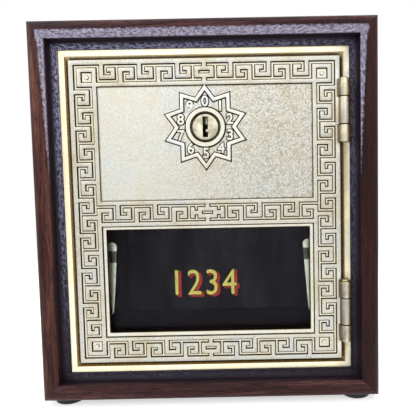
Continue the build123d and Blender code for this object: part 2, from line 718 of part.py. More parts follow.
def make_lock_plug():
    """The plug that the key turns."""
    front = FLOOR - PLUG_PROUD
    plug = rod((0, front, LOCK_Z), (0, 1, 0), PLUG_RADIUS, CRANK_FRONT - front)
    plug = chamfer(plug.edges().group_by(Axis.Y)[0], PLUG_ARRIS)
    plug -= keyway()
    plug = without(plug, chambers(0, PLUG_RADIUS + CUT_OVERRUN))
    tap = place_all(screw_hole(MACHINE_SCREW, CRANK_SCREW_LENGTH - CRANK_THICKNESS),
                    [((0, CRANK_FRONT, LOCK_Z), (0, 1, 0))])
    return without(plug, tap)


def make_key_pins():
    """The lower pins, lifted to the shear line as a key holds them."""
    top = PLUG_RADIUS - PIN_END_GAP
    pins = []
    for y, length in zip(pin_places(), KEY_PIN_LENGTHS):
        pin = rod((0, y, LOCK_Z + top - length), (0, 0, 1), PIN_RADIUS, length)
        pins.append(chamfer(pin.edges().group_by(Axis.Z)[0], PIN_RADIUS / 2))
    return pins


def make_driver_pins():
    """The upper pins, above the shear line."""
    bottom = PLUG_RADIUS + PLUG_GAP + PIN_END_GAP
    return [rod((0, y, LOCK_Z + bottom), (0, 0, 1), PIN_RADIUS, DRIVER_PIN_LENGTH)
            for y in pin_places()]


def make_pin_springs():
    """One coil spring over each driver pin."""
    driver_top = PLUG_RADIUS + PLUG_GAP + PIN_END_GAP + DRIVER_PIN_LENGTH
    height = BIBLE_HEIGHT - driver_top - 2 * (SPRING_WIRE + PIN_END_GAP)
    coil = Helix(height / SPRING_TURNS, height, SPRING_RADIUS)
    wire = sweep(Plane(origin=coil @ 0, z_dir=coil % 0) * Circle(SPRING_WIRE), path=coil)
    bottom = LOCK_Z + driver_top + SPRING_WIRE + PIN_END_GAP
    return [Pos(0, y, bottom) * wire for y in pin_places()]


def make_chamber_cap():
    """The strip that closes the pin chambers."""
    half = BIBLE_WIDTH / 2
    top = LOCK_Z + BIBLE_HEIGHT
    cap = block((-half, half), (BACK, BODY_BACK), (top, top + CAP_THICKNESS))
    return chamfer(cap.edges().group_by(Axis.Z)[-1], CAP_THICKNESS / 3)


# ---------------------------------------------------------------- crank and bolt
def crank_pin_place():
    """Place of the crank's pin at rest, in X and Z."""
    angle = math.radians(CRANK_REST_ANGLE)
    return CRANK_PIN_ORBIT * math.cos(angle), LOCK_Z - CRANK_PIN_ORBIT * math.sin(angle)


def make_lock_driver():
    """The crank on the plug's tail, with the pin that moves the bolt."""
    pin_x, pin_z = crank_pin_place()
    disc = rod((0, CRANK_FRONT, LOCK_Z), (0, 1, 0), CRANK_RADIUS, CRANK_THICKNESS)
    pin = rod((pin_x, CRANK_FRONT, pin_z), (0, 1, 0), CRANK_PIN_RADIUS,
              CRANK_THICKNESS + CRANK_PIN_LENGTH)
    holes = place_all(screw_hole(MACHINE_SCREW, CRANK_THICKNESS, CUT_OVERRUN),
                      [((0, CRANK_BACK, LOCK_Z), (0, 1, 0))])
    return without(disc + pin, holes)


def make_driver_screw():
    """The screw that holds the crank to the plug."""
    screw = pan_screw(MACHINE_SCREW, CRANK_SCREW_LENGTH, MACHINE_HEAD, MACHINE_HEAD_HEIGHT)
    return place_all(screw, [((0, CRANK_BACK, LOCK_Z), (0, 1, 0))])


def make_bolt():
    """The bolt: a bar across the back of the door that joggles back to the crank's plate."""
    half = BOLT_HEIGHT / 2
    leg_end = -BOLT_LEG_X
    bar = block((BOLT_TIP_X, leg_end), (BOLT_FRONT, BOLT_BACK), (LOCK_Z - half, LOCK_Z + half))
    bar = chamfer(bar.edges().group_by(Axis.X)[0].filter_by(Axis.Z), BOLT_THICKNESS / 3)
    leg = block((leg_end - BOLT_THICKNESS, leg_end), (BOLT_FRONT, PLATE_BACK),
                (LOCK_Z - half, LOCK_Z + BOLT_PLATE_TOP))
    plate = block((leg_end - BOLT_THICKNESS, BOLT_PLATE_REACH), (PLATE_FRONT, PLATE_BACK),
                  (LOCK_Z - BOLT_PLATE_DROP, LOCK_Z + BOLT_PLATE_TOP))
    pin_x, pin_z = crank_pin_place()
    room = CRANK_PIN_RADIUS + SLOT_GAP
    travel = pin_z - (LOCK_Z - CRANK_PIN_ORBIT)
    slot_middle = (pin_z + LOCK_Z - CRANK_PIN_ORBIT) / 2
    slot = Pos(pin_x, slot_middle) * SlotCenterToCenter(travel, 2 * room, rotation=90)
    return bar.fuse(leg, plate) - slab(slot, PLATE_FRONT - CUT_OVERRUN, PLATE_BACK + CUT_OVERRUN)


def guide_screw_offset():
    """Height of a guide's screws above and below the lock's axis."""
    return BOLT_HEIGHT / 2 + GUIDE_GAP + GUIDE_METAL + GUIDE_FOOT / 2


def guide_screw_seats(y):
    """Places of the guide screws on a plane at depth y, facing back."""
    rise = guide_screw_offset()
    return [((-x, y, LOCK_Z + side * rise), (0, 1, 0)) for x in GUIDE_X for side in (-1, 1)]


def make_bolt_guide(x):
    """A bent strap that the bolt slides through."""
    inner = BOLT_HEIGHT / 2 + GUIDE_GAP
    outer = inner + GUIDE_METAL
    foot = outer + GUIDE_FOOT
    across = (-x - GUIDE_WIDTH / 2, -x + GUIDE_WIDTH / 2)
    top = BOLT_BACK + GUIDE_GAP + GUIDE_METAL
    strap = block(across, (PAD_TOP, PAD_TOP + GUIDE_METAL), (LOCK_Z - foot, LOCK_Z + foot))
    strap += block(across, (PAD_TOP, top), (LOCK_Z - outer, LOCK_Z + outer))
    strap -= block((across[0] - CUT_OVERRUN, across[1] + CUT_OVERRUN),
                   (PAD_TOP - CUT_OVERRUN, BOLT_BACK + GUIDE_GAP),
                   (LOCK_Z - inner, LOCK_Z + inner))
    holes = place_all(screw_hole(MACHINE_SCREW, GUIDE_METAL, CUT_OVERRUN),
                      guide_screw_seats(PAD_TOP + GUIDE_METAL))
    return without(strap, holes)


def make_bolt_guide_screws():
    """The four screws of the bolt guides."""
    length = GUIDE_SCREW_LENGTH
    screw = pan_screw(MACHINE_SCREW, length, MACHINE_HEAD, MACHINE_HEAD_HEIGHT)
    return place_all(screw, guide_screw_seats(PAD_TOP + GUIDE_METAL))


# ---------------------------------------------------------------- frame
def frame_screw_seats(x):
    """Places of the frame screws on the side walls at a distance x from the middle."""
    return [((side * x, FRAME_SCREW_Y, z), (-side, 0, 0))
            for side in (-1, 1) for z in (-FRAME_SCREW_Z, FRAME_SCREW_Z)]


def bevelled_opening():
    """The taper that cuts the bevel round the inside of the flange."""
    def outline(y, grow):
        return front_plane(y) * Rectangle(2 * (WALL_IN_X + grow), 2 * (WALL_IN_Z + grow))
    return loft([outline(0, FRAME_BEVEL), outline(FRAME_BEVEL, 0)])


def make_door_frame():
    """The cast frame: flange, side walls, door stop and the outer hinge knuckles."""
    inside = (WALL_IN_X, WALL_IN_Z)
    frame = box_ring((FLANGE_X, FLANGE_Z), inside, 0, FLANGE_THICKNESS)
    frame += box_ring((WALL_OUT_X, WALL_OUT_Z), inside, 0, FRAME_DEPTH)
    lip = (WALL_IN_X - LIP_REACH, WALL_IN_Z - LIP_REACH)
    frame += box_ring((WALL_IN_X + FRAME_WALL / 2, WALL_IN_Z + FRAME_WALL / 2), lip,
                      LIP_FRONT, LIP_BACK)
    frame -= bevelled_opening()
    knuckles = []
    for middle in HINGE_Z:
        room = KNUCKLE_MIDDLE + 2 * KNUCKLE_GAP
        frame -= knuckle(middle, room, KNUCKLE_RADIUS + KNUCKLE_RELIEF)
        head_room = 2 * (PIN_HEAD_HEIGHT + PIN_HEAD_ROOM)
        frame -= knuckle(middle + hinge_half(), head_room, PIN_HEAD_RADIUS + PIN_HEAD_ROOM)
        for side in (-1, 1):
            z = middle + side * outer_knuckle_offset()
            knuckles.append(knuckle(z, KNUCKLE_OUTER, KNUCKLE_RADIUS))
    frame = frame.fuse(*knuckles)
    holes = hinge_bores(PIN_BORE_GAP)
    through = screw_hole(WOOD_SCREW, FRAME_WALL, CUT_OVERRUN)
    holes += place_all(through, frame_screw_seats(WALL_IN_X))
    return without(frame, holes)


def make_frame_screws():
    """The four screws that hold the frame to the case's sides."""
    screw = pan_screw(WOOD_SCREW, WOOD_SCREW_LENGTH, WOOD_SCREW_HEAD, WOOD_HEAD_HEIGHT)
    return place_all(screw, frame_screw_seats(WALL_IN_X))


# ---------------------------------------------------------------- wooden case
def moulded_section(inner):
    """Cross-section of a board in X and Y; inner is where its inside face stands."""
    flange = inner + FLANGE_OVERLAP
    cove_start = (flange, -COVE_HEIGHT)
    cove_end = (flange + STEP_IN, -STEP_HEIGHT)
    cove_middle = (flange + STEP_IN / 2 + COVE_SAG / 2,
                   -(COVE_HEIGHT + STEP_HEIGHT) / 2 + COVE_SAG)
    ridge_end = (flange + RIDGE_OUT, -RIDGE_HEIGHT)
    outer = inner + BOARD
    round_radius = outer - ridge_end[0]
    outline = Polyline((inner, PANEL_FRONT), (inner, FLANGE_THICKNESS),
                       (flange, FLANGE_THICKNESS), cove_start)
    outline += ThreePointArc(cove_start, cove_middle, cove_end)
    outline += Polyline(cove_end, (cove_end[0] + STEP_WIDTH, -STEP_HEIGHT),
                        (flange + RIDGE_IN, -RIDGE_HEIGHT), ridge_end)
    swing = round_radius * math.sqrt(0.5)
    outline += ThreePointArc(ridge_end, (ridge_end[0] + swing, round_radius - RIDGE_HEIGHT - swing),
                             (outer, round_radius - RIDGE_HEIGHT))
    lap = inner + BACK_LAP
    outline += Polyline((outer, round_radius - RIDGE_HEIGHT), (outer, CASE_BACK),
                        (lap, CASE_BACK), (lap, PANEL_FRONT), (inner, PANEL_FRONT))
    return make_face(outline)


def make_board(inner, inner_along):
    """A mitred board whose inside face is at x = inner, upright, half inner_along long."""
    outer, outer_along = inner + BOARD, inner_along + BOARD
    bar = extrude(Pos(0, 0, -outer_along) * moulded_section(inner), 2 * outer_along)
    mitre = make_face(Polyline((inner, -inner_along), (outer, -outer_along),
                               (outer, outer_along), (inner, inner_along), close=True))
    return bar & slab(mitre, -RIDGE_HEIGHT - CUT_OVERRUN, CASE_BACK + CUT_OVERRUN)


def foot_places():
    """Middle of each foot in X and Y, in door coordinates, by its corner's name."""
    front = FOOT_SETBACK - RIDGE_HEIGHT
    back = CASE_BACK - FOOT_SETBACK
    side = CASE_X - FOOT_INSET
    return {"front_left": (-side, front), "front_right": (side, front),
            "back_left": (-side, back), "back_right": (side, back)}


def foot_screw_seats():
    """Places of the foot screws on the head's seat, facing down."""
    seat = -CASE_Z - FOOT_FLOOR
    return [((x, y, seat), (0, 0, -1)) for x, y in foot_places().values()]


def panel_screw_seats():
    """Places of the back panel's screws, facing back."""
    edge_x = OPENING_X + BACK_LAP / 2
    edge_z = OPENING_Z + BACK_LAP / 2
    corner_x, corner_z = OPENING_X - BACK_LAP, OPENING_Z - BACK_LAP
    places = [(side * edge_x, z) for side in (-1, 1) for z in (-corner_z, 0, corner_z)]
    places += [(x, side * edge_z) for side in (-1, 1) for x in (-corner_x, corner_x)]
    return [((x, CASE_BACK, z), (0, 1, 0)) for x, z in places]


def make_case_boards():
    """The four boards of the case, by name."""
    upright = make_board(OPENING_X, OPENING_Z)
    level = make_board(OPENING_Z, OPENING_X)
    boards = {"case_right": upright, "case_left": mirror(upright, about=Plane.YZ),
              "case_top": Rot(0, -90, 0) * level}
    boards["case_bottom"] = mirror(boards["case_top"], about=Plane.XY)
    slot_y = CASE_BACK - CASE_DEPTH / 2 + SLOT_Y
    slot = Pos(0, slot_y, CASE_Z - BOARD / 2) * Box(SLOT_LENGTH, SLOT_WIDTH, 2 * BOARD)
    slot = fillet(slot.edges().filter_by(Axis.Z), SLOT_CORNER)
    boards["case_top"] -= slot
    holes = place_all(screw_hole(WOOD_SCREW, WOOD_SCREW_LENGTH - FRAME_WALL),
                      frame_screw_seats(OPENING_X))
    holes += place_all(screw_hole(WOOD_SCREW, WOOD_SCREW_LENGTH), panel_screw_seats())
    holes += place_all(screw_hole(WOOD_SCREW, FOOT_SCREW_LENGTH, FOOT_FLOOR), foot_screw_seats())
    return {name: without(board, holes) for name, board in boards.items()}


def make_back_panel():
    """The panel let into the back of the case."""
    panel_x = OPENING_X + BACK_LAP - FRAME_FIT
    panel_z = OPENING_Z + BACK_LAP - FRAME_FIT
    panel = block((-panel_x, panel_x), (PANEL_FRONT, CASE_BACK), (-panel_z, panel_z))
    seat = flat_seat(WOOD_SCREW, WOOD_SCREW_LENGTH, WOOD_SCREW_HEAD, WOOD_HEAD_HEIGHT)
    return without(panel, place_all(seat, panel_screw_seats()))


def make_back_panel_screws():
    """The screws of the back panel."""
    screw = flat_screw(WOOD_SCREW, WOOD_SCREW_LENGTH, WOOD_SCREW_HEAD, WOOD_HEAD_HEIGHT)
    return place_all(screw, panel_screw_seats())


def make_foot(place):
    """A round rubber foot with a recess for its screw."""
    x, y = place
    top = -CASE_Z
    foot = rod((x, y, top), (0, 0, -1), FOOT_RADIUS, FOOT_HEIGHT)
    foot = chamfer(foot.edges().group_by(Axis.Z)[0], FOOT_BEVEL)
    foot -= rod((x, y, top - FOOT_FLOOR), (0, 0, -1), FOOT_COUNTERBORE, FOOT_HEIGHT)
    return foot - rod((x, y, top), (0, 0, -1), WOOD_SCREW + SCREW_FIT, FOOT_HEIGHT)


def make_foot_screws():
    """The four screws of the feet."""
    screw = pan_screw(WOOD_SCREW, FOOT_SCREW_LENGTH, WOOD_SCREW_HEAD,
                      FOOT_HEIGHT - FOOT_FLOOR - FOOT_SCREW_RECESS)
    return place_all(screw, foot_screw_seats())


# ---------------------------------------------------------------- assembly
def make_parts():
    """Every sub-part in door coordinates, by node name."""
    parts = make_case_boards()
    parts["back_panel"] = make_back_panel()
    parts["back_panel_screws"] = make_back_panel_screws()
    for corner, place in foot_places().items():
        parts["foot_" + corner] = make_foot(place)
    parts["foot_screws"] = make_foot_screws()
    parts["door_frame"] = make_door_frame()
    parts["frame_screws"] = make_frame_screws()
    for name, middle in zip(HINGE_NAMES, HINGE_Z):
        parts[name] = make_hinge_pin(middle)
    parts["door"] = make_door()
    parts["window_glass"] = make_window_glass()
    parts["glass_clip_left"] = make_glass_clip(-1)
    parts["glass_clip_right"] = make_glass_clip(1)
    parts["glass_clip_screws"] = make_glass_clip_screws()
    parts["lock_body"] = make_lock_body()
    parts["lock_body_screws"] = make_lock_body_screws()
    parts["lock_plug"] = make_lock_plug()
    parts["key_pins"] = make_key_pins()
    parts["driver_pins"] = make_driver_pins()
    parts["pin_springs"] = make_pin_springs()
    parts["chamber_cap"] = make_chamber_cap()
    parts["lock_driver"] = make_lock_driver()
    parts["driver_screw"] = make_driver_screw()
    parts["bolt"] = make_bolt()
    for name, x in zip(GUIDE_NAMES, GUIDE_X):
        parts[name] = make_bolt_guide(x)
    parts["bolt_guide_screws"] = make_bolt_guide_screws()
    return parts


def main():
    """Write one STEP file for each node."""
    os.makedirs("parts", exist_ok=True)
    for name, shape in make_parts().items():
        solids = shape if isinstance(shape, list) else shape.solids()
        placed = [move_in(solid) for solid in solids]
        whole = placed[0] if len(placed) == 1 else Compound(children=placed)
        export_step(whole, os.path.join("parts", name + ".step"))


main()
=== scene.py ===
"""Looks of the brass post office box door in its frame and walnut bank case.

Every piece is built in door millimetres: the origin is the middle of the door on the front
face of the frame's flange, +X is to the right, -Y is forward and +Z is up. settle() brings a
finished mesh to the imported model's own frame in metres.
"""

import logging
import math
from collections.abc import Callable, Iterable
from dataclasses import dataclass, field
from enum import Enum

import bmesh
import bpy
from mathutils import Matrix, Vector, noise


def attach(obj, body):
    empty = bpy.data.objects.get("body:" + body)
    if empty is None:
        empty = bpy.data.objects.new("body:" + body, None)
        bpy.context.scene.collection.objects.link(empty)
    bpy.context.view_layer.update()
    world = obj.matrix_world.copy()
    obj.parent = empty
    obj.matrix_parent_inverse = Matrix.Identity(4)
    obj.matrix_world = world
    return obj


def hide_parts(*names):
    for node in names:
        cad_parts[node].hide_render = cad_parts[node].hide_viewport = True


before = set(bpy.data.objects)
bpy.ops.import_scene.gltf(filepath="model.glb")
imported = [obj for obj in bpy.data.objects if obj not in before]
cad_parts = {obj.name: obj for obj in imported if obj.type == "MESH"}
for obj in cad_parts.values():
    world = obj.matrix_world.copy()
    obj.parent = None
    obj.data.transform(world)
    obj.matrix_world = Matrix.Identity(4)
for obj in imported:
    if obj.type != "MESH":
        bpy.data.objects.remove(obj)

log = logging.getLogger("box_door")

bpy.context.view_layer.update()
FRAME_NODES: dict[str, bpy.types.Object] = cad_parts

MM = 0.001
DOOR_ORIGIN = Vector((0.0, -49.0, 95.825))      # door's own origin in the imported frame, in mm
FRONT = Vector((0.0, -1.0, 0.0))
CREASE = 32.0           # faces that meet at more than this many degrees keep a sharp edge
BROAD_AREA = 100.0      # from this area, in square mm, a flat counts as broad
BROAD_CREASE = 20.0     # what replaces CREASE round a broad flat, so that no soft edge shades it
MERGE_MM = 0.0005       # vertices of a CAD mesh that lie closer than this are one
FLAT_ANGLE = 0.6        # faces of a CAD mesh that meet at less than this many degrees are one
DIGIT_SHARE = 0.7       # height of a digit against the font's size
FOOT_DIRT = 0.95        # dirt in the line round the foot of a raised form
FOOT_DEPTH = 1.0        # and how deep that line lies
JOINT_SHADE = 0.9        # painted shade between two knuckles
KNUCKLE_RIGHT = 0.42    # painted shade down a knuckle's right side
KNUCKLE_LEFT = 0.34     # and down its left side
UPPER_GREY = 0.3        # greyness of the upper hinge
LOWER_GREY = 0.6        # and of the lower one

Cell = tuple[int, int]
Colour = tuple[float, float, float, float]
Pair = tuple[float, float]
Triple = tuple[float, float, float]
Quad = tuple[float, float, float, float]
Stain = Callable[[Vector, Vector], float]


class Body(Enum):
    """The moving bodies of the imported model."""

    CASE = "case"
    DOOR = "door"
    PLUG = "plug"
    BOLT = "bolt"


class Lay(Enum):
    """The axis that a metal's tool lines run round."""

    ACROSS = "X"
    FORWARD = "Y"
    UPRIGHT = "Z"


class Grain(Enum):
    """The way a board's grain runs: the turn, in degrees, that brings it upright."""

    UPRIGHT = (0.0, 0.0, 0.0)
    LEVEL = (0.0, 90.0, 0.0)


# ---------------------------------------------------------------- colour and nodes
def colour(code: str) -> Colour:
    """Turn an sRGB hex colour to linear.

    Args:
        code: six hex digits after a hash.

    Returns:
        Linear red, green and blue with an alpha of 1.
    """
    parts = [int(code[i:i + 2], 16) / 255 for i in (1, 3, 5)]
    linear = [c / 12.92 if c <= 0.04045 else ((c + 0.055) / 1.055) ** 2.4 for c in parts]
    return (*linear, 1.0)


def add_node(tree: bpy.types.NodeTree, kind: str, inputs: dict | None = None,
             stops: list[tuple[float, str]] | None = None, **settings: object) -> bpy.types.Node:
    """Add a node with its settings and its links.

    Args:
        tree: the material's or the world's node tree.
        kind: the node's type name.
        inputs: values or sockets by the input's name or number.
        stops: places and hex colours of a colour ramp.
        settings: properties of the node.

    Returns:
        The new node.
    """
    node = tree.nodes.new(kind)
    for key, value in settings.items():
        setattr(node, key, value)
    for key, value in (inputs or {}).items():
        if isinstance(value, bpy.types.NodeSocket):
            tree.links.new(value, node.inputs[key])
        else:
            node.inputs[key].default_value = value
    for index, (place, code) in enumerate(stops or []):
        steps = node.color_ramp.elements
        step = steps[index] if index < 2 else steps.new(place)
        step.position = place
        step.color = colour(code)
    return node


@dataclass(frozen=True)
class Finish:
    """A finish that makes its own material."""

    name: str

    def material(self) -> bpy.types.Material:
        """Make the material, or return the one made before."""
        found = bpy.data.materials.get(self.name)
        return found or self.make()

    def make(self) -> bpy.types.Material:
        """Build the node tree.

        Returns:
            The new material.
        """
        made = bpy.data.materials.new(self.name)
        made.use_nodes = True
        tree = made.node_tree
        tree.nodes.clear()
        place = add_node(tree, "ShaderNodeTexCoord").outputs["Object"]
        shader = self.shade(tree, place)
        add_node(tree, "ShaderNodeOutputMaterial", {"Surface": shader.outputs[0]})
        return made

    def shade(self, tree: bpy.types.NodeTree, place: bpy.types.NodeSocket) -> bpy.types.Node:
        """Add the nodes of this finish.

        Args:
            tree: the material's node tree.
            place: object coordinates, in metres.

        Returns:
            The shader node.
        """
        raise NotImplementedError


@dataclass(frozen=True)
class CastBrass(Finish):
    """Sand-cast yellow brass under old lacquer, rubbed pale on top and dark at the feet of walls.

    The raised lines come out as a pale champagne and the recess floors as a warm cream; the cool
    tint of the raised lines and of the cool patches is a painted reflection of a cool sky. The dirt
    that polishing leaves draws a brown line along every wall, and painted shade makes that line
    darkest on walls that face down.
    """

    raised: str = "#DDDED3"
    floor: str = "#D5D1BD"
    worn: str = "#C8C0A4"
    # painted reflection of a cool sky, laid in patches
    cold: str = "#CED5DB"
    warm_dirt: str = "#6E5326"
    dirt: str = "#1C140B"
    pit_mm: float = 0.6         # grit of the moulding sand, drawn a little coarse so that it shows
    speck: float = 0.22         # how much dirt the grit holds
    roughness: float = 0.42
    bump: float = 0.5

    def tarnish(self, tree: bpy.types.NodeTree, sand: bpy.types.NodeSocket) -> bpy.types.NodeSocket:
        """Add the nodes for how much dirt and painted shade a spot holds, broken up by the grit.

        Args:
            tree: the material's node tree.
            sand: the grit's noise.

        Returns:
            The amount of dirt and painted shade, 0 to 1.
        """
        dirt = add_node(tree, "ShaderNodeAttribute", attribute_name="dirt").outputs["Fac"]
        uneven = add_node(tree, "ShaderNodeMapRange",
                          {"Value": sand, "From Min": 0.3, "From Max": 0.7, "To Min": 1.15,
                           "To Max": 0.8})
        specks = add_node(tree, "ShaderNodeMapRange",
                          {"Value": sand, "From Min": 0.44, "From Max": 0.24, "To Max": self.speck})
        painted = add_node(tree, "ShaderNodeMath", {0: dirt, 1: uneven.outputs[0]},
                           operation="MULTIPLY")
        return add_node(tree, "ShaderNodeMath", {0: painted.outputs[0], 1: specks.outputs[0]},
                        operation="ADD", use_clamp=True).outputs[0]

    def shade(self, tree: bpy.types.NodeTree, place: bpy.types.NodeSocket) -> bpy.types.Node:
        """Add the nodes of this finish.

        Args:
            tree: the material's node tree.
            place: object coordinates, in metres.

        Returns:
            The shader node.
        """
        depth = add_node(tree, "ShaderNodeAttribute", attribute_name="depth").outputs["Fac"]
        cloud = add_node(tree, "ShaderNodeTexNoise",
                         {"Vector": place, "Scale": 1 / (14 * MM), "Detail": 5.0,
                          "Roughness": 0.6}).outputs["Fac"]
        sand = add_node(tree, "ShaderNodeTexNoise",
                        {"Vector": place, "Scale": 1 / (self.pit_mm * MM), "Detail": 2.0,
                         "Roughness": 0.6}).outputs["Fac"]
        metal = add_node(tree, "ShaderNodeMix", {0: depth, 6: colour(self.raised),
                                                 7: colour(self.floor)}, data_type="RGBA")
        # Worn patches, and cool patches that are a painted reflection of a cool sky.
        for low, high, tint in ((0.5, 0.72, self.worn), (0.48, 0.3, self.cold)):
            patch = add_node(tree, "ShaderNodeMapRange",
                             {"Value": cloud, "From Min": low, "From Max": high, "To Max": 0.75})
            metal = add_node(tree, "ShaderNodeMix", {0: patch.outputs[0], 6: metal.outputs[2],
                                                     7: colour(tint)}, data_type="RGBA")
        held = self.tarnish(tree, sand)
        # Dirt and painted shade: warm brown where there is a little, near black where there is
        # much.
        for low, high, tint in ((0.0, 0.5, self.warm_dirt), (0.4, 0.95, self.dirt)):
            share = add_node(tree, "ShaderNodeMapRange",
                             {"Value": held, "From Min": low, "From Max": high})
            metal = add_node(tree, "ShaderNodeMix", {0: share.outputs[0], 6: metal.outputs[2],
                                                     7: colour(tint)}, data_type="RGBA")
        rough = add_node(tree, "ShaderNodeMapRange",
                         {"Value": sand, "From Min": 0.25, "From Max": 0.75,
                          "To Min": self.roughness - 0.08, "To Max": self.roughness + 0.12})
        grit = add_node(tree, "ShaderNodeBump",
                        {"Height": sand, "Strength": self.bump, "Distance": 0.06 * MM})
        return add_node(tree, "ShaderNodeBsdfPrincipled",
                        {"Base Color": metal.outputs[2], "Metallic": 1.0,
                         "Roughness": rough.outputs[0], "Normal": grit.outputs[0]})


@dataclass(frozen=True)
class TurnedMetal(Finish):
    """Turned, drawn or rolled metal: fine tool lines round an axis and a few dull spots.

    The lines break the highlight into short streaks, and the spots keep it from looking new.
    """

    tint: str = "#CFC39A"
    dull: str = "#A89C74"
    roughness: float = 0.34
    line_mm: float = 0.25       # pitch of the tool lines, drawn coarse so that they show
    lay: Lay = Lay.FORWARD
    bump: float = 0.25

    def shade(self, tree: bpy.types.NodeTree, place: bpy.types.NodeSocket) -> bpy.types.Node:
        """Add the nodes of this finish.

        Args:
            tree: the material's node tree.
            place: object coordinates, in metres.

        Returns:
            The shader node.
        """
        cloud = add_node(tree, "ShaderNodeTexNoise",
                         {"Vector": place, "Scale": 1 / (3 * MM), "Detail": 5.0}).outputs["Fac"]
        lines = add_node(tree, "ShaderNodeTexWave",
                         {"Vector": place, "Scale": 0.1 / (self.line_mm * MM), "Distortion": 3.0,
                          "Detail": 2.0}, bands_direction=self.lay.value).outputs["Fac"]
        spots = add_node(tree, "ShaderNodeMapRange",
                         {"Value": cloud, "From Min": 0.4, "From Max": 0.7}).outputs[0]
        mixed = add_node(tree, "ShaderNodeMix", {0: spots, 6: colour(self.tint),
                                                 7: colour(self.dull)}, data_type="RGBA")
        # Dirt and painted shade from the vertex value: the keyway and the lock's nose are darkened
        # here as painted shade.
        dirt = add_node(tree, "ShaderNodeAttribute", attribute_name="dirt").outputs["Fac"]
        mixed = add_node(tree, "ShaderNodeMix", {0: dirt, 6: mixed.outputs[2],
                                                 7: colour("#15110C")}, data_type="RGBA")
        rough = add_node(tree, "ShaderNodeMapRange",
                         {"Value": cloud, "To Min": self.roughness - 0.08,
                          "To Max": self.roughness + 0.14})
        grit = add_node(tree, "ShaderNodeBump",
                        {"Height": lines, "Strength": self.bump, "Distance": 0.02 * MM})
        return add_node(tree, "ShaderNodeBsdfPrincipled",
                        {"Base Color": mixed.outputs[2], "Metallic": 1.0,
                         "Roughness": rough.outputs[0], "Normal": grit.outputs[0]})


